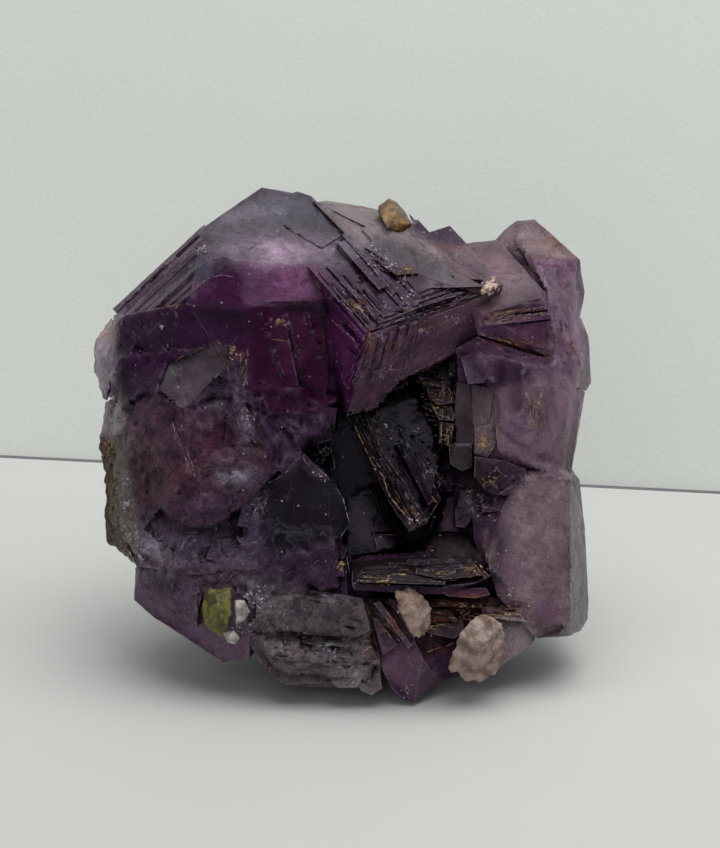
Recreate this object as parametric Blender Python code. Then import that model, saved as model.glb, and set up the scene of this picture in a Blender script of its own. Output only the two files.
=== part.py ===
"""Hand specimen of intergrown fluorite crystals with a few grains of other minerals on it.

Everything is drawn in a display frame in millimetres: u to the right, v up and w towards the
viewer. The drawing is in perspective from SIGHT_DISTANCE in front of (SIGHT_U, SIGHT_V), so a
corner given as (u, v, w) is moved onto its sight line. The whole specimen is then tilted back by
DISPLAY_TILT, cut flat where it stands, and moved so that its bounding box stands on the origin.
"""

import math
import random

import bmesh
import bpy
import mathutils

MM = 0.001
DISPLAY_TILT = 17.0
SIGHT_DISTANCE = 500.0
SIGHT_U = 1.875
SIGHT_V = 31.0

# The cube lattice of the crown crystal: its proud corner and the three edges that leave it.
CORNER = (2.9, 42.1, 20.0)
EDGE_LEFT = mathutils.Vector((-0.562, 0.6535, -0.507))
EDGE_RIGHT = mathutils.Vector((0.804, 0.288, -0.520))
EDGE_DOWN = mathutils.Vector((-0.194, -0.700, -0.687))

# No crystal face is perfect: each block's corners stray this much, so no two faces share a plane.
STRAY = 0.04
SEED = 7
TRIES = 8

# Width of the sloping upper side of each plate on the crown's shoulder.
TREAD = 0.55

# A grain's socket is this much larger all round, and the floor cutter is this wide each way.
GAP = 0.35
BASE_CUT = 60.0


def drawn(u, v, w):
    """The display-frame point that is seen at (u, v) and lies w in front of the middle."""
    nearer = 1.0 - w / SIGHT_DISTANCE
    return mathutils.Vector((SIGHT_U + (u - SIGHT_U) * nearer, SIGHT_V + (v - SIGHT_V) * nearer, w))


def on_plane(u, v, plane):
    """The point seen at (u, v) that lies on a plane, given as a point (u, v, w) and its two slopes."""
    at_u, at_v, at_w, slope_u, slope_v = plane
    foot = drawn(at_u, at_v, at_w)
    top = at_w + slope_u * (u - foot.x) + slope_v * (v - foot.y)
    bottom = 1.0 + (slope_u * (u - SIGHT_U) + slope_v * (v - SIGHT_V)) / SIGHT_DISTANCE
    return drawn(u, v, top / bottom)


def chunk(outline, plane, depth, squeeze=0.86, lean=(0.0, 0.0)):
    """Corners of a block with one flat front facet; its back is set back and drawn in."""
    front = [on_plane(u, v, plane) for u, v in outline]
    middle = sum(front, mathutils.Vector()) / len(front)
    shift = mathutils.Vector((lean[0], lean[1], -depth))
    back = [middle + (corner - middle) * squeeze + shift for corner in front]
    return front + back


def hull_points(*corners):
    return [drawn(*corner) for corner in corners]


def lattice_box(left, right, down):
    """A box on the crown crystal's lattice, given its range along each of the three edges."""
    corner = drawn(*CORNER)
    return [
        corner + EDGE_LEFT * a + EDGE_RIGHT * c + EDGE_DOWN * b
        for a in left
        for c in right
        for b in down
    ]


def core():
    """The massive inside of the specimen, everywhere a little behind the faces that are seen."""
    return [
        hull_points(
            (-26, 17, -2), (-27.5, 30, -1), (-28, 41, -1), (-22, 48.5, 0), (-11, 56, 1),
            (3, 53.5, 1), (12, 49.5, 0), (24, 51, -4), (27.5, 45, -2), (28, 32, -1),
            (27.5, 9, -1), (17, 4, 2), (6, 0, 5), (-8, 1, 5), (-20, 8, 3),
            (-22, 16, -10), (-25, 38, -9), (-11, 53, -11), (8, 51, -11), (22, 47.5, -10),
            (26, 30, -11), (24, 13, -11), (8, 6.5, -12), (-9, 7, -12),
        ),
        # Foot, towards the back.
        hull_points(
            (-9, 2.6, -9), (11, 2.6, -9), (-7, 4.4, -15), (8.5, 4.3, -15), (-11, 9, -6),
            (13, 9, -6), (-7, 11, -16.5), (8, 12, -16.5), (-10, 1, 4), (12, 1, 2),
        ),
        # Left side, between the crown and the lower blocks.
        hull_points(
            (-27.4, 33.5, 6.5), (-23, 38.6, 10.2), (-13, 39.5, 12.0), (-9.4, 32.5, 11.2),
            (-8.6, 25, 12.0), (-8.8, 14, 13.0), (-12, 10, 12.6), (-24.6, 12.6, 9.0),
            (-27.2, 18, 6.8), (-27.6, 26, 6.6), (-25, 34, -8), (-10, 34, -8), (-9, 14, -6),
            (-23, 14, -6),
        ),
        # Bottom.
        hull_points(
            (-14, 11, 12.4), (-11.8, 3.2, 10.6), (-4, 0.4, 11.2), (3.2, 1.0, 11.8),
            (3.2, 9.6, 12.2), (0.6, 14.6, 12.2), (-8.6, 15.4, 13.2), (-12, 6, -4), (3, 4, -4),
            (0, 14, -6), (-9, 14, -6),
        ),
        # Right side, beside the hollow.
        hull_points(
            (13.2, 38.6, 3.6), (13.8, 28, 5.6), (13.6, 18, 6.0), (16.0, 14.6, 8.6),
            (19.6, 13.4, 9.6), (21.6, 24.2, 7.6), (26.2, 26.4, 6.2), (26.4, 37, 6.4),
            (18.4, 40.4, 7.0), (14, 34, -8), (26, 34, -8), (24, 20, -8), (15, 20, -8),
        ),
    ]


def crown_crystal():
    """The large upper-left crystal: top face, bright bevel band, overhanging front, stepped shoulder."""
    blocks = [
        hull_points(
            (-10.4, 60.6, 2.8), (-8.9, 59.9, 3.3), (-4.3, 59.5, 3.1), (2.3, 52.0, 10.6),
            (-17.6, 55.65, 8.8), (-18.2, 53.3, 11.2), (-14, 51.4, 13.4), (-3.2, 50.9, 12.6),
            (1.5, 50.6, 12.2), (-19.6, 46.0, 14.6), (-12, 45.6, 15.6), (-2.4, 46.3, 14.4),
            (-11, 32.2, 11.8), (-1.2, 32.6, 9.4), (-12.8, 40, 13.6), (1, 40, 11.5), (-17, 52, -4),
            (-12, 55, -14), (0, 54, -12), (-20, 38, -13), (-9, 34, -10), (4, 38, -8),
        ),
        # The top face runs on as a low swelling behind its edge.
        chunk([(-7.2, 59.6), (-6, 60.05), (-4.2, 59.5), (0, 54.8), (-3, 53), (-8, 56)],
              (-3, 51, 12.7, -0.12, -1.1), 8, 0.9),
        # Dusty front, left of the clear part.
        hull_points(
            (-20, 46.1, 14.3), (-12, 45.6, 15.4), (-12.4, 38, 13.2), (-14.8, 40.6, 12.6),
            (-27.6, 44.6, 6.5), (-28.9, 43, 4.5), (-29.2, 38.5, 5), (-23.4, 37, 10.4), (-17, 36, 11),
            (-28.9, 44.6, 1.5), (-24, 42, -10), (-12, 40, -8),
        ),
        hull_points(
            (-29.6, 34.4, 5.4), (-27.2, 33.2, 8.2), (-22.6, 34.4, 11.0), (-22.4, 38.6, 11.2),
            (-26.6, 40.6, 8.8), (-29.4, 40, 4.4), (-29, 36, -6), (-22, 36, -6), (-26, 41, -6),
        ),
        # A shallow chip hanging from the bevel band's lower edge.
        chunk([(-9.8, 46.4), (-2.6, 46.35), (-2.4, 44.6), (-5.5, 43.9), (-8.8, 44.3)],
              (-5, 45.6, 14.6, -0.1, 0.3), 4, 1.2),
        # Low waves on the front face.
        chunk([(-11.4, 43.6), (-7.4, 43.4), (-5.8, 36), (-8.2, 33.4), (-11.0, 33.6), (-12.4, 38)],
              (-9, 39, 13.5, 0.06, 0.24), 3, 1.15),
        chunk([(-6.2, 42.4), (-2.8, 43.0), (-1.9, 37.6), (-2.6, 33.8), (-5.2, 34.4)],
              (-4, 39, 12.4, -0.12, 0.3), 3, 1.15),
    ]
    # Shoulder: thin growth plates whose edges all climb to the right, each prouder than the last.
    along = mathutils.Vector((0.735, 0.678))
    across = mathutils.Vector((0.678, -0.735))
    foot = mathutils.Vector((-28.9, 45.2))
    plates = (
        (0.30, 2.4, 0.0, 15.6, 6.0),
        (1.15, 4.4, -0.4, 16.2, 5.0),
        (1.75, 5.9, -0.6, 16.4, 4.5),
        (2.60, 7.6, 0.2, 16.4, 4.2),
        (3.20, 9.0, 0.4, 16.6, 4.0),
        (4.25, 10.6, 1.4, 16.6, 3.4),
        (5.00, 11.9, 3.6, 15.6, 2.8),
        (5.80, 13.2, 6.0, 13.6, 2.2),
    )
    for offset, height, start, end, reach in plates:
        low = foot + across * offset + along * start
        high = foot + across * offset + along * end
        back = (low - across * TREAD, high - across * TREAD)
        inside = (low + across * reach, high + across * reach)
        blocks.append(
            hull_points(
                (low.x, low.y, height - 1.2), (high.x, high.y, height),
                (back[0].x, back[0].y, height - 2.4), (back[1].x, back[1].y, height - 1.2),
                (inside[0].x, inside[0].y, height - 1.6), (inside[1].x, inside[1].y, height - 0.6),
                (low.x + 0.6, low.y - 0.4, height - 9), (high.x, high.y - 1.2, height - 9),
                (inside[0].x, inside[0].y, height - 8), (inside[1].x, inside[1].y, height - 8),
            )
        )
    blocks.append(chunk([(-18.9, 53.3), (-17.7, 54.2), (-16.9, 53.2), (-17.5, 52.3)],
                        (-18, 53, 11.4, 0.2, -0.9), 4, 1.3))
    return blocks


def stepped_corner():
    """The proud cube corner: its block, the terraces over it and the ribs on its two side faces."""
    blocks = [
        lattice_box((0, 13), (0, 4.4), (0, 14.0)),
        lattice_box((0.15, 12), (3.5, 8.5), (0, 12.2)),
        lattice_box((0.0, 12), (7.6, 18.6), (0, 10.4)),
        lattice_box((0.5, 12), (12, 21.0), (-0.2, 8.6)),
        lattice_box((0.35, 10), (1.8, 5.2), (9, 15.4)),
    ]
    # Terraces: set back along the left edge, set along the right edge, height, length along each.
    terraces = (
        (0.35, 0.5, 0.22, 11.2, 17.9),
        (0.75, 1.9, 0.48, 11.0, 16.3),
        (1.25, 3.0, 0.68, 6.0, 14.8),
        (0.70, 5.9, 0.95, 13.2, 11.2),
        (1.35, 6.7, 1.15, 13.8, 9.9),
        (1.95, 8.2, 1.36, 13.0, 7.5),
        (2.55, 8.9, 1.55, 12.0, 5.6),
        (0.20, 13.0, 0.42, 8.0, 6.4),
        (0.55, 15.2, 0.72, 7.0, 4.9),
        (5.20, 5.0, 1.12, 9.0, 5.0),
        (7.60, 6.2, 1.34, 7.5, 4.0),
    )
    for index, (back, along, height, left, right) in enumerate(terraces):
        down = (-height, 2.0 + 0.17 * index)
        blocks.append(lattice_box((back, back + left), (along, along + right), down))
    # The upper plate, cut off along a slanting edge, and the strip that falls away behind it.
    blocks.append(chunk([(10.2, 48.0), (14, 48.3), (17.2, 48.2), (14, 49.3), (8, 53.4), (4, 55),
                         (2.4, 53.1), (9.2, 49.6)],
                        (10.2, 48, 14.3, -0.282, -1.02), 9, 0.9))
    blocks.append(chunk([(9.2, 49.9), (8, 53.4), (4, 55), (-3.2, 58.6), (-4.0, 58.9), (2.6, 52.1),
                         (6.5, 49.6)],
                        (4, 53, 10.4, -0.15, -1.15), 9, 0.9))
    blocks.append(
        hull_points(
            (4, 55, 8.6), (8, 53.5, 8.9), (14, 49.3, 11.2), (17.8, 48.9, 10.6),
            (18.4, 48.6, 7), (12.0, 52.7, 3.5), (10.8, 53.1, 3), (7.3, 54.9, 3), (4, 57.8, 1.5),
            (2, 58.2, 1), (-1, 58.05, 2), (-2.3, 58.9, 2.4), (-3.6, 58.7, 4.6),
            (4, 50, -4), (14, 47, -2), (0, 52, -6),
        )
    )
    # Ribs on the right-hand face, along the edge that runs down.
    ribs = (
        (-0.32, 0.5, 1.4, 0.5, 7.4),
        (-0.50, 2.0, 2.7, 0.9, 5.4),
        (-0.35, 3.2, 3.9, 0.6, 6.6),
        (-0.28, 4.8, 5.6, 0.5, 4.4),
        (-0.25, 2.4, 4.4, 6.8, 8.6),
        (-0.22, 6.4, 7.4, 0.4, 2.6),
        (-0.24, 9.0, 14.5, 0.3, 1.3),
        (-0.20, 8.2, 9.0, 2.2, 4.6),
    )
    for index, (proud, start, end, top, low) in enumerate(ribs):
        blocks.append(lattice_box((proud, 1.5 + 0.13 * index), (start, end), (top, low)))
    # Ledges on the left-hand face, along the edge that runs up to the left.
    ledges = (
        (-0.35, 0.4, 7.8, 0.5, 1.2),
        (-0.60, 0.8, 4.6, 2.1, 2.8),
        (-0.28, 0.6, 2.4, 4.3, 9.6),
    )
    for index, (proud, start, end, top, low) in enumerate(ledges):
        blocks.append(lattice_box((start, end), (proud, 1.45 + 0.13 * index), (top, low)))
    # Cleaved chip at the far end of the terraces.
    blocks.append(chunk([(16.9, 48.4), (17.4, 49.2), (18.3, 49.3), (19.0, 48.4), (18.2, 47.6),
                         (17.2, 47.6)],
                        (18, 48.4, 12.0, 0.1, -0.5), 6, 1.1))
    return blocks


def left_mass():
    """The broken crystals at the left, below the crown: grey facet, brown-purple body, conchoidal edge."""
    return [
        chunk([(-22, 38.2), (-15.8, 41.2), (-14.8, 40.5), (-14.7, 38.3), (-19.6, 33.2), (-20.6, 33.2),
               (-23.2, 35.3)],
              (-19, 37, 12.9, 0.06, -0.42), 12, 1.0),
        chunk([(-15.2, 37.6), (-14.6, 40.2), (-12.6, 39.6), (-11.9, 34), (-14.6, 33.6)],
              (-14, 37, 13.0, 0.18, 0.1), 8, 1.15),
        hull_points(
            (-20.4, 33.2, 15.0), (-26.9, 33.4, 9.4), (-27.4, 28, 9.4), (-25.8, 21.6, 10.4),
            (-21.5, 20.6, 13.6), (-19.0, 27.5, 15.6), (-15.4, 34.6, 13.6), (-12.0, 33.6, 13.2),
            (-11.4, 25.4, 14.6), (-17.5, 24.6, 15.4), (-26.5, 30, -6), (-24, 20, -6), (-12, 24, -4),
            (-12, 34, -4),
        ),
        # The shell-like lower lip.
        chunk([(-22.2, 20.2), (-20.0, 18.4), (-17, 18.0), (-15.4, 18.6), (-12.2, 21.8), (-9.6, 24.2),
               (-13, 26.2),
               (-18.4, 25.4), (-21.2, 23)], (-17, 21, 15.9, 0.06, 0.12), 8, 0.9),
        chunk([(-12.4, 33.4), (-11.4, 31.6), (-9.0, 28.4), (-9.3, 24.6), (-13.4, 24.6), (-15.2, 27.4),
               (-14.8, 32)],
              (-12, 29, 14.5, -0.1, 0.1), 7, 1.1),
        # Broken ground between the front face and the hollow.
        chunk([(-12, 33.8), (-1.0, 33.0), (-1.4, 30.2), (-4.6, 28.0), (-9.6, 25.0), (-12.6, 27)],
              (-6, 30, 11.8, -0.05, 0.2), 9, 0.95),
        chunk([(-9.8, 29.8), (-6.6, 30.2), (-5.3, 27.5), (-7.2, 24.8), (-9.6, 24.4), (-10.8, 26.6)],
              (-8, 27, 13.4, 0.1, -0.15), 7, 1.05),
        chunk([(-5.6, 31.2), (-2.0, 31.4), (-1.6, 29.0), (-4.0, 28.3)], (-3, 30, 12.6, 0.2, 0.1),
              5, 0.95),
        chunk([(-4.9, 28.2), (-1.9, 28.8), (-1.2, 25.4), (-3.9, 24.2)], (-3, 26, 8.4, 0.1, -0.4),
              8, 0.95),
        # Slate facet beside the hollow.
        chunk([(-9.6, 23.6), (-7.3, 24.8), (-5.2, 27.4), (-3.8, 24.6), (-2.0, 24.2), (-0.2, 21.8),
               (0.6, 18.6),
               (-0.5, 16.8), (-4, 15.8), (-9.2, 14.6), (-11.6, 18.4)], (-5, 20, 15.6, 0.04, -0.28),
               12, 0.9),
        chunk([(-12.6, 22.2), (-9.8, 24.4), (-9.2, 21.8), (-11.2, 17.8), (-13.4, 18.2)],
              (-11, 21, 14.9, -0.16, -0.05), 8, 1.05),
        # The mass under the lip.
        hull_points(
            (-25.8, 21, 9.4), (-20.8, 19.4, 13.6), (-12.4, 20.2, 14.0), (-9.2, 12.6, 15.0),
            (-19.0, 12.2, 14.2), (-25.6, 12.6, 10.6), (-27.6, 16.2, 6.5), (-25, 20, -8),
            (-12, 20, -4), (-24.5, 13.5, -6), (-11, 12, -4),
        ),
        chunk([(-25.4, 16.4), (-22.6, 17.2), (-19.4, 15.4), (-18.8, 13.6), (-22.8, 12.6), (-25.6, 13.2)],
              (-22, 15, 12.8, 0.3, -0.25), 4, 1.1),
        chunk([(-16.4, 16.6), (-10.4, 17.2), (-9.4, 14.2), (-14.0, 13.2), (-17.4, 14.2)],
              (-13, 15, 15.2, 0.1, -0.3), 4, 1.15),
        # Rind down the left side.
        hull_points(
            (-29.9, 33.8, 0.5), (-28.2, 34.2, 5.6), (-26.6, 31.0, 8.2), (-30.4, 31.0, 0),
            (-30.7, 29.0, -1), (-27.2, 25, 8.6), (-30.0, 25, 0.4), (-28, 30, -8), (-26, 24, -8),
        ),
        hull_points(
            (-29.9, 27.4, 2.6), (-28.1, 26.6, 6.6), (-27.2, 22, 8.2), (-29.9, 22.5, 1.6),
            (-29.7, 20.0, 0.4), (-26.2, 18.2, 8.8), (-29.9, 17.6, 0), (-29.8, 16.4, 0.6),
            (-28.2, 15.2, 2.4), (-26.2, 13.4, 6.0), (-27, 26, -7), (-25, 16, -7),
        ),
        chunk([(-29.2, 22.4), (-27.4, 22.8), (-26.6, 19.4), (-28.6, 18.2), (-29.4, 19.4)],
              (-28, 20.6, 7.4, 0.9, 0), 4, 1.2),
        chunk([(-29.9, 28.4), (-28.6, 28.8), (-28.0, 26.8), (-29.4, 26.0)], (-29, 27.6, 5.6, 0.9, 0),
              4, 1.1),
    ]


def left_bump():
    """The pale, rounded growth low on the crown's left edge."""
    return [
        hull_points(
            (-31.4, 38.5, -1.5), (-31.3, 41.2, -1.5), (-30.0, 43.0, -1.2), (-29.2, 44.3, -0.4),
            (-28.7, 42.6, 3.6), (-30.9, 40.2, 1.4), (-30.7, 36.6, 0.6), (-31.0, 36.5, -1.8),
            (-29.9, 34.0, 0.2), (-29.3, 36.8, 4.0), (-29.4, 40.2, 3.8), (-27.5, 42, -6),
            (-27.5, 36, -6),
        ),
    ]


def lower_blocks():
    """The blocky crystals along the bottom, and the slab-like ledge over them."""
    return [
        # Lower left block.
        hull_points(
            (-26.2, 13.2, 7.8), (-26.4, 9.0, 7.0), (-25.4, 8.6, 7.4), (-24.0, 6.9, 8.0),
            (-19.8, 5.5, 9.8), (-15.2, 1.2, 10.2), (-12.0, 1.6, 12.2), (-11.2, 12.6, 14.2),
            (-19.2, 13.4, 13.6), (-25.4, 13.6, 10.4), (-25.0, 12.6, -5), (-24, 9.6, -5),
            (-16, 5, -6), (-9, 5, -6), (-9, 13, -4),
        ),
        chunk([(-22.2, 12.4), (-18.6, 13), (-17.6, 10.8), (-18.8, 6.4), (-20.8, 7.0)],
              (-20, 10, 12.6, 0.2, 0.05), 3, 1.2),
        chunk([(-12.4, 12.4), (-9.4, 12.2), (-7.8, 9.6), (-9.4, 8.0), (-12.0, 8.6)],
              (-10.4, 10.4, 15.2, 0.1, -0.1), 4, 1.15),
        # Lower middle.
        hull_points(
            (-12.6, 9.2, 13.4), (-12.0, 3.4, 12.4), (-10.2, 1.5, 11.8), (-9.7, -0.3, 11.0),
            (-7.5, -1.8, 10.6), (-1.8, -1.4, 11.6), (4.5, -2.0, 11.8), (4.4, 1.8, 13.4),
            (2.7, 8.6, 14.6), (-1.0, 9.8, 15.4), (-7.0, 10.6, 15.6), (-9, 3, -6), (3, 2, -6),
            (-8, 10, -4), (3, 9, -4),
        ),
        chunk([(-7.4, 9.6), (-1.2, 9.8), (2.2, 9.2), (3.2, 5.2), (1.2, 4.4), (-4.8, 4.6), (-6.6, 5.6)],
              (-2, 7, 15.7, 0.02, -0.1), 5, 1.08),
        chunk([(-9.7, 4.2), (-5.2, 4.3), (1.6, 3.6), (4.2, 2.6), (4.4, 1.0), (-1.5, 0.8), (-6, 0.9),
               (-9.4, 1.2)],
              (-2, 2.4, 14.5, 0, -0.25), 5, 1.0),
        chunk([(-9.2, 2.5), (-3.2, 2.7), (2.8, 2.1), (2.6, 1.7), (-3, 2.0), (-9.2, 1.9)],
              (-2, 2.2, 15.2, 0, -0.3), 3, 1.0),
        chunk([(-5.4, 4.1), (0.2, 4.0), (2.6, 3.5), (2.2, 3.0), (-1.2, 3.3), (-5.2, 3.5)],
              (-2, 3.6, 15.2, 0, -0.3), 3, 1.0),
        chunk([(-1.8, -0.2), (0.6, 0.9), (2.4, -0.4), (1.6, -1.9), (-0.8, -2.0), (-1.7, -1.3)],
              (0, -0.6, 13.5, 0.1, -0.2), 5, 0.95),
        chunk([(1.4, 0.2), (4.3, 0.4), (4.6, -2.1), (3.3, -2.9), (2.0, -2.4), (1.5, -1.4)],
              (3, -1.2, 13.0, 0.1, -0.1), 6, 0.95),
        chunk([(-9.6, 0.9), (-5.4, 1.0), (-2.2, 0.2), (-2.4, -1.4), (-7.4, -1.7), (-9.5, -0.3)],
              (-6, -0.4, 12.7, 0.0, -0.1), 6, 0.95),
        # Rough ground left of the ledge.
        chunk([(-10.6, 14.2), (-5.8, 15.6), (-1.4, 14.4), (0.1, 13.8), (0.3, 9.6), (-5.4, 9.4),
               (-9.8, 9.8)],
              (-4, 12, 14.4, 0.05, -0.1), 10, 0.95),
        chunk([(-6.2, 12.9), (-3.0, 14.0), (-2.6, 11.2), (-5.8, 10.2)], (-4, 12, 15.4, 0.1, -0.2),
              3, 1.2),
        chunk([(-4.3, 16.3), (-1.6, 16.7), (0.2, 15.3), (-0.2, 14.1), (-3.6, 14.2)],
              (-2, 15.4, 15.2, 0.2, 0), 5, 1.05),
        chunk([(-1.6, 13.9), (-0.2, 13.9), (-0.1, 12.0), (-1.4, 11.8)], (-0.8, 13, 15.6, 0.1, -0.2),
              4, 1.1),
        # Ledge: a slab whose top slopes towards the viewer, with set-back slivers in front.
        hull_points(
            (0.9, 11.0, 17.2), (12.4, 10.6, 17.0), (16.4, 11.2, 15.6), (18.3, 12.1, 13.4),
            (16.8, 16.4, 8.4), (15.5, 17.4, 7.0), (11, 17.2, 7.2), (0.9, 14.0, 12.8),
            (1.2, 10.2, 16.6), (12.2, 9.7, 16.2), (17.4, 11.0, 12.6), (2, 11, -4), (16, 13, -4),
            (8, 16, -4),
        ),
        chunk([(12.2, 10.4), (17.6, 10.5), (18.2, 9.6), (16.2, 9.2), (12.6, 9.5)],
              (15, 10, 15.6, -0.3, -0.2), 8, 0.95),
        chunk([(8.9, 12.9), (14.1, 12.75), (14.3, 13.45), (16.3, 13.5), (17.4, 12.1), (12.4, 11.55),
               (8.8, 12.2)],
              (12, 12.4, 16.2, -0.12, -1.0), 2.4, 0.98),
        chunk([(1.6, 11.95), (7.3, 12.3), (7.5, 11.6), (12.6, 11.3), (12.4, 10.9), (1.4, 11.2)],
              (6, 11.5, 17.3, 0, -0.7), 2.4, 0.98),
        # Ground under the ledge.
        hull_points(
            (1.6, 9.6, 12.0), (3.2, 9.2, 13.4), (10.6, 9.6, 12.6), (17.8, 9.4, 10.8),
            (23.2, 8.4, 8.8), (23.0, 4.6, 9.2), (20.8, 1.8, 7.4), (14.4, -0.5, 8.6),
            (11.8, -1.2, 9.6), (9.8, 1.6, 12.6), (4.8, 0.0, 11.8), (4, 6, -5), (22, 8, -4),
            (19, 4, -5),
        ),
        chunk([(8.6, 7.9), (13.0, 7.8), (14.2, 6.4), (10.2, 6.2), (9.0, 7.2)], (11, 7, 14.2, -0.1, -0.3),
              3, 1.1),
        chunk([(10.2, 6.2), (14.6, 6.6), (15.0, 5.2), (13.6, 4.2), (10.4, 4.9)],
              (12, 5.6, 13.7, -0.1, -0.4), 3, 1.1),
        chunk([(9.6, 9.7), (16.8, 9.2), (17.2, 8.0), (10.4, 8.3)], (13, 8.8, 13.8, -0.2, -0.6), 3, 1.05),
        chunk([(16.8, 8.2), (22.2, 8.1), (22.8, 6.2), (17.4, 6.9)], (20, 7.4, 11.2, -0.3, -0.7), 3, 1.05),
        # Grey foot at the lower right.
        hull_points(
            (18.4, 6.8, 10.6), (23.4, 6.6, 9.4), (23.8, 4.2, 8.2), (22.5, 2.6, 7.2),
            (20.8, 1.7, 7.6), (18.4, 0.0, 9.2), (19.4, 4.6, 11.0), (20, 6, -4), (19.4, 3.2, -1),
        ),
        # Bottom crystal with ribs that run down to the right.
        hull_points(
            (3.4, 9.2, 14.2), (4.7, 0.2, 13.6), (6.0, -2.3, 12.2), (7.0, -3.2, 11.7),
            (8.7, -3.7, 11.8), (10.5, -2.3, 10.4), (11.8, -1.2, 9.6), (9.6, 1.8, 14.6),
            (8.6, 4.2, 15.0), (5.2, 8.9, 15.2), (5, 4, -2), (9, 0, -2), (8, 6, -2),
        ),
        chunk([(3.5, 8.6), (4.4, 8.9), (8.4, 3.4), (7.9, 2.9)], (6, 6, 16.0, 0.0, -0.1), 3, 1.0),
        chunk([(5.3, 9.2), (6.2, 9.0), (9.2, 4.6), (8.6, 4.2)], (7, 7, 15.8, 0.0, -0.1), 3, 1.0),
        chunk([(3.4, 6.9), (4.1, 6.6), (6.6, 3.4), (4.7, 2.2)], (5, 5, 15.4, 0.3, -0.1), 3, 1.0),
    ]


def hollow_crystals():
    """The dark crystals inside the re-entrant hollow, well behind the proud corner."""
    return [
        # Shield crystal: a raised left rib, a ribbed face and a pointed foot.
        hull_points(
            (0.3, 32.6, 6.4), (1.4, 32.8, 6.8), (8.0, 17.4, 11.4), (10.2, 18.6, 10.6),
            (12.0, 21.6, 8.2), (12.6, 30, 4.4), (13.2, 36, 1.6), (8, 37.5, 2.2), (3, 36, 3.6),
            (5.4, 21.2, 9.4), (5, 30, -6), (11, 30, -6), (9, 21, -4),
        ),
        chunk([(0.4, 32.4), (1.1, 32.7), (8.9, 18.2), (8.0, 17.5), (5.4, 21.4)],
              (4.5, 26, 10.0, 0.1, -0.3), 4, 0.95),
        chunk([(4.2, 26.6), (5.2, 26.9), (10.2, 19.2), (9.2, 18.3)], (7, 23, 10.9, 0.0, -0.3), 3, 0.95),
        chunk([(2.2, 31.4), (2.7, 31.7), (6.4, 24.4), (5.6, 24.3)], (4, 28, 8.7, 0.0, -0.3), 3, 0.95),
        chunk([(6.4, 28.6), (7.0, 28.8), (11.0, 21.4), (10.4, 20.8)], (9, 25, 9.4, 0.0, -0.3), 3, 0.95),
        # Brick-like steps at its upper right.
        chunk([(9.2, 36.9), (13.2, 36.6), (13.3, 35.4), (9.8, 35.8)], (11, 36, 5.0, 0.0, -0.6), 5, 1.0),
        chunk([(10.2, 35.6), (13.6, 35.2), (13.7, 33.6), (11.6, 33.4), (10.4, 34.4)],
              (12, 34.5, 5.6, 0.0, -0.5), 5, 1.0),
        chunk([(10.8, 33.2), (13.4, 33.2), (13.6, 31.4), (11.8, 31.6)], (12, 32.4, 6.2, 0.1, -0.4),
              5, 1.0),
        chunk([(11.9, 31.2), (13.7, 31.0), (13.2, 28.2), (11.8, 28.6)], (12.7, 30, 6.8, 0.1, -0.3),
              5, 1.0),
        chunk([(10.6, 38.6), (13.6, 39.4), (13.9, 37.0), (11.4, 36.6)], (12.4, 38, 4.6, 0.1, -0.2),
              5, 1.0),
        # Broken floor of the hollow.
        chunk([(0.4, 22), (4.2, 24), (6.6, 18), (7.0, 15.4), (0.2, 14.6), (0.9, 18)],
              (3, 19, 5.6, 0.0, -0.5), 8, 0.95),
        chunk([(3.6, 17.2), (7.6, 17.2), (9.4, 15.2), (4.2, 14.4)], (6, 16, 8.6, 0.0, -0.6), 6, 1.0),
        chunk([(12.4, 26.2), (17.8, 25.6), (17.4, 22.8), (12.2, 22.6)], (15, 24, 5.6, 0.1, -0.2), 6, 1.0),
        chunk([(11.4, 21.4), (14.4, 22.2), (14.0, 17.6), (10.6, 17.6)], (12.6, 19.6, 5.6, 0.1, -0.4),
              6, 1.0),
    ]


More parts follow.
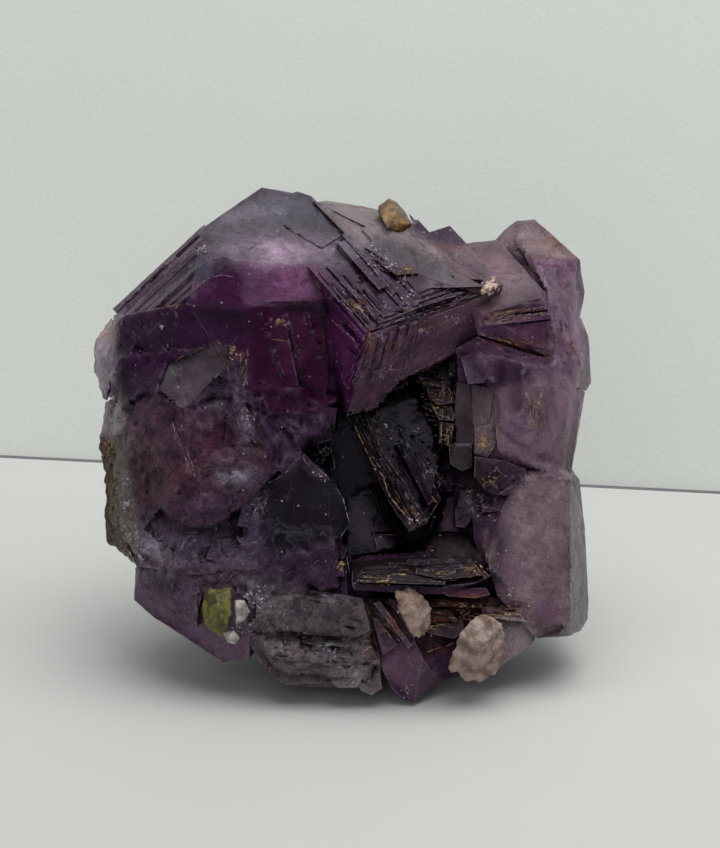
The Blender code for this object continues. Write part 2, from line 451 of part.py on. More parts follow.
def right_crystal():
    """The paler crystal at the right: roof, peak, stepped front, big lower face and its side."""
    return [
        # Roof and the mass under it.
        hull_points(
            (11.7, 53.0, 0.5), (16, 53.7, -1.0), (19.0, 54.0, -1.6), (20.5, 52.6, 1.2),
            (24.2, 48.2, 6.2), (24.6, 46.8, 7.4), (17.4, 44.8, 11.0), (15.6, 46.2, 9.6),
            (26.2, 46.2, 6.6), (26, 39.4, 7.6), (16.6, 42.2, 9.4), (13, 50, -10), (24, 48, -8),
            (16, 40, -8), (26, 40, -8),
        ),
        chunk([(17.0, 45.2), (24.6, 46.4), (26.2, 46.3), (26.0, 45.4), (17.6, 44.3)],
              (21, 45.4, 9.2, -0.3, -0.3), 4, 1.0),
        chunk([(17.2, 44.0), (25.8, 45.1), (25.9, 44.2), (17.4, 43.2)], (21, 44.2, 9.7, -0.3, -0.3),
              4, 1.0),
        chunk([(17.6, 42.9), (25.9, 43.9), (26.0, 40.6), (22, 41.0)], (22, 42.6, 8.8, -0.2, 0.3), 4, 1.0),
        # Peak.
        hull_points(
            (18.7, 53.9, -3.4), (20.0, 55.3, -4.0), (21.5, 56.4, -4.4), (23.7, 56.6, -4.6),
            (26.2, 54.4, -4.4), (29.4, 51.5, -4.6), (29.5, 50.2, -3.6), (22.2, 51.8, 1.8),
            (24.2, 48.4, 4.6), (29.2, 46.2, -1.0), (20.5, 52.6, 0.2), (22, 52, -14),
            (27.5, 49, -13), (26, 44, -10),
        ),
        chunk([(22.4, 52.2), (25.6, 52.4), (26.4, 50.3), (23.4, 50.0)], (24.4, 51.2, 3.1, -0.1, -0.2),
              4, 1.1),
        chunk([(26.2, 52.0), (29.0, 51.6), (28.9, 50.2), (26.8, 50.4)], (27.6, 51, 0.6, -0.3, -0.2),
              4, 1.05),
        # Upper right limb.
        hull_points(
            (24.2, 48.6, 4.8), (29.4, 50.2, -2.4), (30.0, 47.5, -3.0), (29.5, 44.6, -2.2),
            (26.0, 39.0, 7.4), (26.0, 44.8, 6.4), (28.6, 43.4, 1.8), (25, 46, -12), (28, 42, -11),
        ),
        hull_points(
            (26.0, 46.0, 6.0), (28.8, 44.0, 1.0), (29.6, 44.2, -2.0), (30.4, 42.0, -2.4),
            (30.6, 38.5, -2.6), (30.8, 36.2, -2.8), (30.2, 35.2, -2.6), (26.0, 34.8, 8.0),
            (25.6, 38.0, 8.2), (28.2, 35.6, 5.0), (26, 44, -13), (28, 36, -13),
        ),
        # Dusky re-entrant under the long fissure.
        hull_points(
            (13.9, 40.4, 7.8), (16.6, 42.0, 8.8), (25.8, 38.9, 8.0), (25.4, 36.2, 8.6),
            (18.4, 34.8, 7.2), (14.2, 35.4, 6.0), (14, 38, -6), (25, 38, -6),
        ),
        chunk([(14.4, 39.5), (16.2, 39.7), (18.4, 37.6), (17.4, 36.2), (15.4, 36.0)],
              (16.4, 37.8, 9.0, 0.1, -0.3), 5, 1.1),
        # Middle of the right side.
        hull_points(
            (18.6, 34.6, 7.2), (25.6, 36.8, 8.8), (29.4, 33.8, 2.4), (30.0, 35.0, 0.2),
            (28.1, 31.4, 2.8), (28.0, 30.4, 2.8), (28.6, 28.4, 2.0), (28.2, 24.2, 4.6),
            (19.0, 28.0, 9.4), (18.8, 30.6, 9.0), (22.6, 25.2, 8.4), (19.2, 26.6, 8.6),
            (22.8, 31, 9.8), (20, 32, -12), (27, 30, -12), (24, 26, -12),
        ),
        chunk([(22.4, 34.9), (24.2, 35.4), (25.2, 31), (24.6, 28.8), (22.8, 28.8)],
              (23.6, 32, 10.1, -0.2, 0), 3, 1.2),
        # Fissured strip beside the hollow.
        chunk([(14.0, 36.2), (15.6, 36.0), (16.2, 29.2), (15.2, 26.8), (13.4, 28.8)],
              (14.8, 32, 6.6, 0.3, 0), 6, 1.0),
        chunk([(15.8, 36.0), (18.6, 35.4), (18.2, 31.8), (16.6, 29.2), (16.0, 31)],
              (17, 33, 7.6, 0.2, 0), 6, 1.0),
        chunk([(16.2, 30.6), (18.6, 31.0), (19.0, 28.4), (17.8, 26.9), (16.2, 27.4)],
              (17.5, 29, 8.4, 0.1, -0.2), 6, 1.05),
        chunk([(12.9, 28.6), (15.8, 28.6), (15.9, 25.6), (14.6, 25.2), (13.2, 26.0)],
              (14.4, 27, 8.4, 0, -0.35), 6, 1.05),
        # Lumps between hollow and lower face.
        chunk([(16.2, 26.9), (19.8, 26.4), (22.5, 25.4), (22.9, 24.9), (22.1, 23.2), (20.2, 22.0),
               (17.6, 22.6), (16.2, 24.4)],
              (19.4, 24.6, 9.6, -0.05, 0.1), 7, 1.0),
        chunk([(14.4, 22.7), (17.1, 22.8), (16.6, 20.4), (15.0, 18.0), (13.9, 18.2), (13.8, 20)],
              (15.4, 20.6, 8.2, 0.2, -0.2), 6, 1.05),
        chunk([(16.8, 22.4), (20.0, 22.0), (20.2, 20.2), (17.2, 19.9)], (18.4, 21.2, 8.9, 0, -0.3),
              5, 1.05),
        hull_points(
            (15.9, 20.0, 8.4), (19.9, 20.1, 9.2), (20.2, 19.2, 9.4), (18.6, 14.0, 11.6),
            (17.0, 14.2, 11.0), (16.2, 16.6, 9.8), (16, 18, -4), (20, 16, -4),
        ),
        # Large lower face with its greyish side.
        hull_points(
            (22.9, 25.1, 8.6), (28.0, 23.8, 8.0), (28.1, 6.2, 9.4), (26.8, 4.8, 9.2),
            (24.0, 4.2, 9.8), (19.0, 9.6, 11.6), (17.8, 13.6, 11.4), (19.6, 20.6, 9.6),
            (22.0, 23.4, 9.0), (29.3, 24.0, 0.8), (30.0, 18.0, 0.2), (30.4, 9.0, 0.0),
            (30.3, 6.7, 0.4), (29.5, 5.2, 1.2), (28.2, 4.5, 2.4), (25.5, 4.6, 3.6),
            (28.2, 25.6, 2.0), (23, 24, -12), (28, 22, -12), (28, 11, -11), (20, 10, -8),
        ),
        chunk([(22.9, 25.2), (28.2, 24.0), (28.1, 6.3), (27.4, 5.3), (23.4, 18.4)],
              (25.6, 15, 9.9, -0.1, -0.04), 4, 1.0),
    ]


def back_faces():
    """The hidden side: cube corners of the same crystals, grown parallel and stepped by cleavage."""
    cubes = (
        ((-8.0, 44.0, -21.0), (18.0, 16.0, 14.0)),
        ((-10.5, 45.6, -20.3), (12.0, 11.0, 8.0)),
        ((-6.2, 47.2, -18.8), (9.0, 12.0, 8.0)),
        ((8.0, 41.0, -22.0), (16.0, 18.0, 13.0)),
        ((6.2, 43.6, -20.6), (10.0, 13.0, 9.0)),
        ((10.4, 39.2, -21.7), (12.0, 9.0, 8.0)),
        ((19.0, 42.0, -16.0), (9.0, 14.0, 9.0)),
        ((20.6, 39.6, -15.4), (6.0, 9.0, 9.0)),
        ((-2.0, 29.0, -23.5), (18.0, 20.0, 15.0)),
        ((-4.4, 30.4, -22.6), (9.0, 14.0, 8.0)),
        ((1.0, 27.0, -22.7), (12.0, 9.0, 8.0)),
        ((15.0, 28.0, -20.0), (14.0, 18.0, 14.0)),
        ((13.2, 30.2, -19.2), (9.0, 12.0, 8.0)),
        ((-18.0, 34.0, -17.0), (16.0, 9.0, 13.0)),
        ((-19.6, 35.7, -15.8), (9.0, 6.0, 8.0)),
        ((-14.0, 20.0, -18.0), (14.0, 10.0, 13.0)),
        ((-15.4, 21.6, -17.1), (9.0, 7.0, 8.0)),
        ((5.0, 15.5, -19.0), (9.0, 14.0, 12.0)),
        ((3.1, 17.0, -18.2), (6.0, 10.0, 8.0)),
        ((22.0, 25.0, -15.0), (7.0, 12.0, 12.0)),
        ((21.0, 14.0, -13.0), (6.0, 12.0, 9.0)),
    )
    blocks = []
    for corner, (left, right, down) in cubes:
        far = drawn(*corner)
        blocks.append([
            far - EDGE_LEFT * a - EDGE_RIGHT * c - EDGE_DOWN * b
            for a in (0, left)
            for c in (0, right)
            for b in (0, down)
        ])
    return blocks


def mesh_object(name, corners):
    """A convex solid through the given display-frame corners."""
    mesh = bpy.data.meshes.new(name)
    body = bmesh.new()
    for corner in corners:
        body.verts.new(corner)
    hull = bmesh.ops.convex_hull(body, input=body.verts)
    inside = set(hull["geom_interior"] + hull["geom_unused"])
    loose = [corner for corner in body.verts if corner in inside]
    bmesh.ops.delete(body, geom=loose, context="VERTS")
    bmesh.ops.recalc_face_normals(body, faces=body.faces)
    body.to_mesh(mesh)
    body.free()
    made = bpy.data.objects.new(name, mesh)
    bpy.context.scene.collection.objects.link(made)
    return made


def boolean(target, other, operation):
    """The mesh that one exact Boolean of two solids makes."""
    step = target.modifiers.new("join", "BOOLEAN")
    step.operation = operation
    step.solver = "EXACT"
    step.object = other
    bpy.context.view_layer.update()
    graph = bpy.context.evaluated_depsgraph_get()
    mesh = bpy.data.meshes.new_from_object(target.evaluated_get(graph))
    target.modifiers.clear()
    bpy.data.objects.remove(other, do_unlink=True)
    return mesh


def volume_of(mesh):
    """The volume a mesh encloses, or nothing where it isn't closed."""
    body = bmesh.new()
    body.from_mesh(mesh)
    closed = all(len(edge.link_faces) == 2 for edge in body.edges)
    volume = body.calc_volume(signed=True) if closed else 0.0
    body.free()
    return volume


def strayed(block, chance):
    moved = []
    for corner in block:
        stray = mathutils.Vector([chance.uniform(-STRAY, STRAY) for _ in range(3)])
        moved.append(corner + stray)
    return moved


def fused(name, blocks):
    """All the blocks grown together in one solid; a block that won't join is strayed afresh."""
    chance = random.Random(SEED)
    made = mesh_object(name, strayed(blocks[0], chance))
    volume = volume_of(made.data)
    for index, block in enumerate(blocks[1:]):
        for _ in range(TRIES):
            mesh = boolean(made, mesh_object(f"{name}_block_{index}", strayed(block, chance)), "UNION")
            grown_volume = volume_of(mesh)
            if grown_volume > volume - 1.0:
                made.data = mesh
                volume = grown_volume
                break
    return made


def without_cavities(made):
    """Fills any void that the blocks enclose: its shell has a negative volume."""
    body = bmesh.new()
    body.from_mesh(made.data)
    left = set(body.faces)
    inner = []
    while left:
        shell = {left.pop()}
        front = list(shell)
        while front:
            face = front.pop()
            for edge in face.edges:
                for other in edge.link_faces:
                    if other in left:
                        left.discard(other)
                        shell.add(other)
                        front.append(other)
        volume = sum(face.normal.dot(face.calc_center_median()) * face.calc_area() for face in shell)
        if volume < 0.0:
            inner.extend(shell)
    bmesh.ops.delete(body, geom=inner, context="FACES")
    body.to_mesh(made.data)
    body.free()


def to_world(point):
    """Display frame in millimetres to the standing frame in metres."""
    tilt = math.radians(DISPLAY_TILT)
    u, v, w = point
    return mathutils.Vector((
        u * MM,
        (v * math.sin(tilt) - w * math.cos(tilt)) * MM,
        (v * math.cos(tilt) + w * math.sin(tilt)) * MM,
    ))


def stand_up(made):
    for vertex in made.data.vertices:
        vertex.co = to_world(vertex.co)
    made.data.update()


def cut_base(made):
    """Takes off what lies below the floor, leaving the flat patch it rests on."""
    reach = BASE_CUT * MM
    mesh = bpy.data.meshes.new("floor_cutter")
    body = bmesh.new()
    bmesh.ops.create_cube(body, size=2 * reach)
    bmesh.ops.translate(body, verts=body.verts, vec=(0.0, 0.0, -reach))
    body.to_mesh(mesh)
    body.free()
    cutter = bpy.data.objects.new("floor_cutter", mesh)
    bpy.context.scene.collection.objects.link(cutter)
    made.data = boolean(made, cutter, "DIFFERENCE")


def material(name, colour, roughness, transmission=0.0, ior=1.45):
    made = bpy.data.materials.new(name)
    made.use_nodes = True
    shader = made.node_tree.nodes["Principled BSDF"]
    shader.inputs["Base Color"].default_value = (*colour, 1.0)
    shader.inputs["Roughness"].default_value = roughness
    shader.inputs["Transmission Weight"].default_value = transmission
    shader.inputs["IOR"].default_value = ior
    made.diffuse_color = (*colour, 1.0)
    return made


def grains():
    """The separate grains of other minerals, each with its material."""
    siderite = [
        (4.15, 57.6, 4.0), (4.2, 58.2, 4.6), (5.5, 59.25, 4.8), (6.6, 58.7, 4.2), (7.7, 57.3, 4.6),
        (8.35, 56.1, 5.2), (8.1, 55.4, 5.6), (7.0, 54.9, 7.4), (5.2, 55.5, 9.0), (4.6, 56.8, 8.2),
        (6.3, 57.7, 8.0), (7.6, 56.0, 7.8), (5.0, 57.6, 1.6), (7.4, 56.6, 2.0),
    ]
    calcite_large = [
        (16.8, 7.2, 15.0), (17.9, 7.1, 15.0), (19.5, 6.0, 13.8), (19.9, 4.4, 13.4),
        (20.2, 1.8, 12.4), (19.0, 0.2, 12.4), (16.8, -1.25, 12.6), (15.0, -0.9, 12.8),
        (12.9, 0.5, 13.2), (13.5, 2.3, 15.2), (14.3, 4.2, 16.0), (15.2, 5.7, 15.8),
        (17.2, 3.6, 17.0), (16.2, 1.2, 15.8), (18.4, 4.6, 16.0), (16.8, 5.6, 12.2),
        (14.4, 1.6, 11.0), (18.6, 2.0, 10.6),
    ]
    calcite_small = [
        (6.3, 10.0, 16.6), (8.0, 10.6, 16.6), (9.7, 9.5, 16.4), (10.9, 8.0, 15.8), (9.2, 7.2, 16.8),
        (10.5, 5.4, 15.8), (9.2, 4.2, 16.8), (8.1, 5.0, 17.2), (6.6, 8.2, 17.6), (8.2, 8.8, 18.0),
        (9.2, 6.0, 17.6), (7.4, 8.2, 14.6), (9.6, 6.2, 14.4),
    ]
    green = [
        (-17.2, 10.5, 14.2), (-14.2, 10.5, 15.2), (-14.2, 7.4, 15.8), (-14.9, 4.9, 15.0),
        (-15.6, 4.4, 14.2), (-17.6, 6.0, 13.6), (-18.0, 7.4, 13.2), (-16.4, 7.8, 15.8),
        (-15.4, 9.4, 16.0), (-16.0, 6.0, 15.2), (-16.6, 9.2, 12.6), (-15.2, 6.4, 12.4),
    ]
    white = [
        (-13.8, 9.0, 15.8), (-12.6, 8.9, 15.8), (-11.8, 7.6, 15.6), (-12.4, 6.6, 15.8),
        (-13.6, 6.0, 15.8), (-13.3, 7.8, 16.8), (-13.1, 7.4, 13.6),
    ]
    crumb = [
        (-15.2, 4.9, 14.9), (-13.9, 5.3, 15.3), (-13.1, 4.2, 14.9), (-13.6, 3.5, 14.4),
        (-14.7, 3.6, 14.2), (-14.2, 4.4, 15.8), (-14.2, 4.4, 12.8),
    ]
    return (
        ("siderite_crystal", siderite, material("siderite", (0.36, 0.22, 0.09), 0.45)),
        ("calcite_crystal_large", calcite_large, material("calcite", (0.55, 0.42, 0.36), 0.5)),
        ("calcite_crystal_small", calcite_small, bpy.data.materials["calcite"]),
        ("yellow_green_grain", green, material("yellow_green_mineral", (0.28, 0.24, 0.03), 0.4)),
        ("white_grain", white, material("white_mineral", (0.55, 0.55, 0.50), 0.5)),
        ("white_crumb", crumb, bpy.data.materials["white_mineral"]),
    )


def grown(made, amount):
    """A slightly larger copy of a convex grain, to clear a socket round it."""
    corners = [vertex.co.copy() for vertex in made.data.vertices]
    middle = sum(corners, mathutils.Vector()) / len(corners)
    return [corner + (corner - middle).normalized() * amount for corner in corners]


def build():
    for made in list(bpy.data.objects):
        bpy.data.objects.remove(made, do_unlink=True)
    blocks = core() + back_faces() + left_mass() + left_bump() + crown_crystal()
    blocks += hollow_crystals() + right_crystal() + lower_blocks() + stepped_corner()
    cluster = fused("fluorite_cluster", blocks)
    without_cavities(cluster)
    pieces = [cluster]
    for name, corners, colour in grains():
        grain = mesh_object(name, hull_points(*corners))
        grain.data.materials.append(colour)
        cluster.data = boolean(cluster, mesh_object(f"{name}_socket", grown(grain, GAP)), "DIFFERENCE")
        pieces.append(grain)
    for piece in pieces:
        stand_up(piece)
    cut_base(cluster)
    cluster.data.materials.clear()
    cluster.data.materials.append(material("fluorite", (0.16, 0.05, 0.20), 0.12, 0.6, 1.434))
    corners = [vertex.co for piece in pieces for vertex in piece.data.vertices]
    low = [min(corner[axis] for corner in corners) for axis in range(3)]
    high = [max(corner[axis] for corner in corners) for axis in range(3)]
    shift = mathutils.Vector((-(low[0] + high[0]) / 2, -(low[1] + high[1]) / 2, -low[2]))
    for piece in pieces:
        piece.data.transform(mathutils.Matrix.Translation(shift))
        piece.data.update()


build()
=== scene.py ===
import math
import random

import bmesh
import bpy
import numpy as np
from mathutils import Matrix, Vector, noise
from mathutils.bvhtree import BVHTree


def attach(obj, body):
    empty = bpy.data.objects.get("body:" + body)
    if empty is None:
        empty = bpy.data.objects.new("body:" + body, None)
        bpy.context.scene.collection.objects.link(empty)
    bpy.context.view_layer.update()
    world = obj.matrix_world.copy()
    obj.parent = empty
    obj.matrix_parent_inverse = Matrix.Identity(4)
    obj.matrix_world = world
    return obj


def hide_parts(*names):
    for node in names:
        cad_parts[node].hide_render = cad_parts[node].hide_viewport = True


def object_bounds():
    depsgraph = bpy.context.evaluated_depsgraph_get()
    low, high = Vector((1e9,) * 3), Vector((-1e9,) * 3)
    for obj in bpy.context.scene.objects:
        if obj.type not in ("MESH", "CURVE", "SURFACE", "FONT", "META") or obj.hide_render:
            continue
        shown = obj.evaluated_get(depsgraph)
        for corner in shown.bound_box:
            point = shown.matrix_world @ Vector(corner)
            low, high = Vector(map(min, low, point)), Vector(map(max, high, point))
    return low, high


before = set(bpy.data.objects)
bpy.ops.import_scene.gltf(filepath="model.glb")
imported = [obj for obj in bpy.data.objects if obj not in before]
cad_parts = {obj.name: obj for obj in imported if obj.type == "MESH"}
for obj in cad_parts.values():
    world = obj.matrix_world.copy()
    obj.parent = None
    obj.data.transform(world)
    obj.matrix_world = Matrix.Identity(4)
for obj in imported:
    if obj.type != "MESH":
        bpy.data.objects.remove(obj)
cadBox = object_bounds()
print("frame loaded:", len(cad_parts), "nodes")

mm = 0.001

# The specimen is drawn leaning back, in millimetres: u to the right, v up, w towards the viewer
stand = {"tilt": 17.0, "sightDistance": 500.0, "sightU": 1.875, "sightV": 31.0,
         "shiftX": 0.281, "shiftY": -9.103}


def placeTrue(u, v, w):
    tilt = math.radians(stand["tilt"])
    return Vector((
        (u + stand["shiftX"]) * mm,
        (v * math.sin(tilt) - w * math.cos(tilt) + stand["shiftY"]) * mm,
        (v * math.cos(tilt) + w * math.sin(tilt)) * mm,
    ))


def placeSeen(u, v, w):
    # a point seen at (u, v) that lies w in front of the middle
    nearer = 1.0 - w / stand["sightDistance"]
    return placeTrue(stand["sightU"] + (u - stand["sightU"]) * nearer,
                     stand["sightV"] + (v - stand["sightV"]) * nearer, w)


def seenFrom(points):
    # arrays of where world points are seen, and how near they are
    tilt = math.radians(stand["tilt"])
    x = points[:, 0] / mm - stand["shiftX"]
    y = points[:, 1] / mm - stand["shiftY"]
    z = points[:, 2] / mm
    v = y * math.sin(tilt) + z * math.cos(tilt)
    w = -y * math.cos(tilt) + z * math.sin(tilt)
    farther = 1.0 / (1.0 - w / stand["sightDistance"])
    seenU = stand["sightU"] + (x - stand["sightU"]) * farther
    seenV = stand["sightV"] + (v - stand["sightV"]) * farther
    return seenU, seenV, w


def linear(red, green, blue):
    # screen colour 0-255 to linear light
    out = []
    for value in (red, green, blue):
        share = value / 255
        out.append(share / 12.92 if share <= 0.04045 else ((share + 0.055) / 1.055) ** 2.4)
    return tuple(out)


def takeUp(obj):
    bpy.ops.object.select_all(action="DESELECT")
    obj.select_set(True)
    bpy.context.view_layer.objects.active = obj


def newObject(name, data):
    made = bpy.data.objects.new(name, data)
    bpy.context.scene.collection.objects.link(made)
    return made


def editAll(obj):
    takeUp(obj)
    bpy.ops.object.mode_set(mode="EDIT")
    bpy.ops.mesh.select_all(action="SELECT")


def shapeOf(mesh):
    shape = bmesh.new()
    shape.from_mesh(mesh)
    return shape


def putBack(shape, mesh):
    shape.to_mesh(mesh)
    shape.free()


def copyOfNode(nodeName, newName):
    obj = newObject(newName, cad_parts[nodeName].data.copy())
    obj.data.materials.clear()
    editAll(obj)
    bpy.ops.mesh.remove_doubles(threshold=0.000002)
    bpy.ops.object.mode_set(mode="OBJECT")
    return obj


def splitLongEdges(obj, longest, passes, keep=None):
    # halves every edge that is longer, where keep allows it
    takeUp(obj)
    bpy.ops.object.mode_set(mode="EDIT")
    bpy.ops.mesh.select_mode(type="EDGE")
    for _ in range(passes):
        bpy.ops.mesh.select_all(action="DESELECT")
        shape = bmesh.from_edit_mesh(obj.data)
        found = 0
        for edge in shape.edges:
            if edge.calc_length() > longest and (keep is None or keep(edge)):
                edge.select = True
                found += 1
        bmesh.update_edit_mesh(obj.data)
        if not found:
            break
        bpy.ops.mesh.subdivide(number_cuts=1)
        bpy.ops.mesh.select_all(action="SELECT")
        bpy.ops.mesh.quads_convert_to_tris(quad_method="SHORTEST_DIAGONAL", ngon_method="BEAUTY")
    bpy.ops.object.mode_set(mode="OBJECT")


def roughen(obj, size, strength, group=""):
    # moves the surface in and out by clouds of that size
    takeUp(obj)
    clouds = bpy.data.textures.new(obj.name + "Clouds", "CLOUDS")
    clouds.noise_scale = size
    clouds.noise_depth = 2
    bpy.ops.object.modifier_add(type="DISPLACE")
    step = obj.modifiers[-1]
    step.texture = clouds
    step.texture_coords = "LOCAL"
    step.strength = strength
    step.mid_level = 0.5
    step.vertex_group = group
    bpy.ops.object.modifier_apply(modifier=step.name)


def addWeights(obj, name, weights):
    group = obj.vertex_groups.new(name=name)
    for index in np.nonzero(weights)[0]:
        group.add([int(index)], float(weights[index]), "REPLACE")


def weighBroken(obj, name):
    # a vertex group that is 1 on broken ground and fades out over its border
    u, v, w = seenFrom(meshArrays(obj.data)[0])
    weights = np.zeros(len(u))
    turns = 8
    for turn in range(turns):
        angle = turn * 2 * math.pi / turns
        nearU = u + brokenGround["border"] * math.cos(angle)
        nearV = v + brokenGround["border"] * math.sin(angle)
        hit = np.zeros(len(u), dtype=bool)
        for outline in brokenGround["outlines"].values():
            hit |= insideOutline(nearU, nearV, outline)
        for outline in brokenGround["flat"].values():
            hit &= ~insideOutline(nearU, nearV, outline)
        weights += hit * (w > brokenGround["deepest"]) / turns
    addWeights(obj, name, weights)


def weighCrust(obj, name):
    # a vertex group over the crust that runs down the left side
    u, v, w = seenFrom(meshArrays(obj.data)[0])
    addWeights(obj, name, insideOutline(u, v, brokenGround["crust"]) & (w > brokenGround["crustDeepest"]))


def rayTreeOf(obj):
    shape = shapeOf(obj.data)
    tree = BVHTree.FromBMesh(shape)
    shape.free()
    return tree


eye = placeTrue(stand["sightU"], stand["sightV"], stand["sightDistance"])


def surfaceSeen(tree, u, v):
    # the first place on the sight line through (u, v), and the way the surface faces there
    return tree.ray_cast(eye, (placeTrue(u, v, 0.0) - eye).normalized())[:2]


def surfaceBehind(tree, u, v):
    # where the sight line through (u, v) leaves the crystals, in millimetres in front of the middle
    along = (placeTrue(u, v, 0.0) - eye).normalized()
    place = tree.ray_cast(eye + along * 2 * stand["sightDistance"] * mm, -along)[0]
    return None if place is None else seenFrom(np.array([place]))[2][0]


cameraSet = {"picture": 106.0, "sensor": 36.0}
bpy.ops.object.camera_add(location=eye)
camera = bpy.context.object
camera.name = "viewCamera"
aim = placeTrue(stand["sightU"], stand["sightV"], 0.0) - camera.location
camera.rotation_euler = aim.to_track_quat("-Z", "Y").to_euler()
camera.data.sensor_fit = "VERTICAL"
camera.data.sensor_height = cameraSet["sensor"]
camera.data.sensor_width = cameraSet["sensor"]
camera.data.lens = cameraSet["sensor"] * stand["sightDistance"] / cameraSet["picture"]
camera.data.clip_start = 0.01
camera.data.clip_end = 10.0
bpy.context.scene.camera = camera
print("camera placed")


def newGroup(name, inputs, outputs):
    # an input with no number is a vector; all outputs are values
    group = bpy.data.node_groups.new(name, "ShaderNodeTree")
    for label, value in inputs.items():
        kind = "NodeSocketVector" if value is None else "NodeSocketFloat"
        made = group.interface.new_socket(label, in_out="INPUT", socket_type=kind)
        if value is not None:
            made.default_value = value
    for label in outputs:
        group.interface.new_socket(label, in_out="OUTPUT", socket_type="NodeSocketFloat")
    start = group.nodes.new("NodeGroupInput")
    end = group.nodes.new("NodeGroupOutput")
    return group, start.outputs, end.inputs


def feed(tree, socket, given):
    # a value of its own, or a link from another node
    if isinstance(given, bpy.types.NodeSocket):
        tree.links.new(given, socket)
    elif socket.type == "RGBA":
        socket.default_value = (*given, 1.0)
    else:
        socket.default_value = given


def feedAll(tree, node, values):
    for label, given in values.items():
        feed(tree, node.inputs[label], given)


def addMath(tree, operation, first, second=None, clamp=False):
    node = tree.nodes.new("ShaderNodeMath")
    node.operation = operation
    node.use_clamp = clamp
    feed(tree, node.inputs[0], first)
    if second is not None:
        feed(tree, node.inputs[1], second)
    return node.outputs[0]


def addRamp(tree, value, low, high, bottom=0.0, top=1.0):
    node = tree.nodes.new("ShaderNodeMapRange")
    node.interpolation_type = "SMOOTHSTEP"
    feedAll(tree, node, {"Value": value, "From Min": low, "From Max": high, "To Min": bottom, "To Max": top})
    return node.outputs["Result"]


def addMix(tree, share, first, second):
    node = tree.nodes.new("ShaderNodeMix")
    node.data_type = "RGBA"
    node.clamp_factor = True
    for label, given in (("Factor", share), ("A", first), ("B", second)):
        feed(tree, [s for s in node.inputs if s.name == label and s.enabled][0], given)
    return [s for s in node.outputs if s.enabled][0]


def addNoise(tree, where, scale, detail=3.0, roughness=0.5, distortion=0.0):
    node = tree.nodes.new("ShaderNodeTexNoise")
    feedAll(tree, node, {"Vector": where, "Scale": scale, "Detail": detail, "Roughness": roughness,
                         "Distortion": distortion})
    return node.outputs["Fac"]


def dustVeilGroup():
    # fine pale dust in soft patches, thicker on what faces up
    group, given, out = newGroup("dustVeil", {"Where": None, "Patch Scale": 180.0, "Amount": 0.5}, ["Mask"])
    parts = group.nodes.new("ShaderNodeSeparateXYZ")
    group.links.new(group.nodes.new("ShaderNodeNewGeometry").outputs["Normal"], parts.inputs[0])
    up = addRamp(group, parts.outputs["Z"], -0.3, 0.9, 0.45, 1.0)
    soft = addRamp(group, addNoise(group, given["Where"], given["Patch Scale"], 4.0, 0.6), 0.35, 0.75)
    grit = addRamp(group, addNoise(group, given["Where"], 5200.0, 2.0, 0.7), 0.35, 0.65, 0.35, 1.3)
    speckled = addMath(group, "MULTIPLY", addMath(group, "MULTIPLY", soft, up), grit)
    group.links.new(addMath(group, "MULTIPLY", speckled, given["Amount"], clamp=True), out["Mask"])
    return group


def speckGroup():
    # scattered small bright specks
    group, given, out = newGroup("specks", {"Where": None, "Scale": 900.0, "Share": 0.1}, ["Mask"])
    cells = group.nodes.new("ShaderNodeTexVoronoi")
    group.links.new(given["Where"], cells.inputs["Vector"])
    group.links.new(given["Scale"], cells.inputs["Scale"])
    dot = addRamp(group, cells.outputs["Distance"], 0.12, 0.26, 1.0, 0.0)
    parts = group.nodes.new("ShaderNodeSeparateColor")
    group.links.new(cells.outputs["Color"], parts.inputs[0])
    chosen = addMath(group, "LESS_THAN", parts.outputs[0], given["Share"])
    group.links.new(addMath(group, "MULTIPLY", dot, chosen), out["Mask"])
    return group


def growthLinesGroup():
    # thin parallel growth steps across one crystal direction, broken up by noise
    group, given, out = newGroup(
        "growthLines", {"Where": None, "Across": None, "Per Metre": 1600.0, "Waver": 0.6}, ["Height"])
    across = group.nodes.new("ShaderNodeVectorMath")
    across.operation = "DOT_PRODUCT"
    group.links.new(given["Where"], across.inputs[0])
    group.links.new(given["Across"], across.inputs[1])
    waver = addMath(group, "MULTIPLY", addNoise(group, given["Where"], 160.0, 2.0), given["Waver"])
    phase = addMath(group, "MULTIPLY", across.outputs["Value"], given["Per Metre"])
    saw = addMath(group, "FRACT", addMath(group, "ADD", phase, waver))
    broken = addRamp(group, addNoise(group, given["Where"], 240.0, 2.0), 0.42, 0.6)
    group.links.new(addMath(group, "MULTIPLY", saw, broken), out["Height"])
    return group


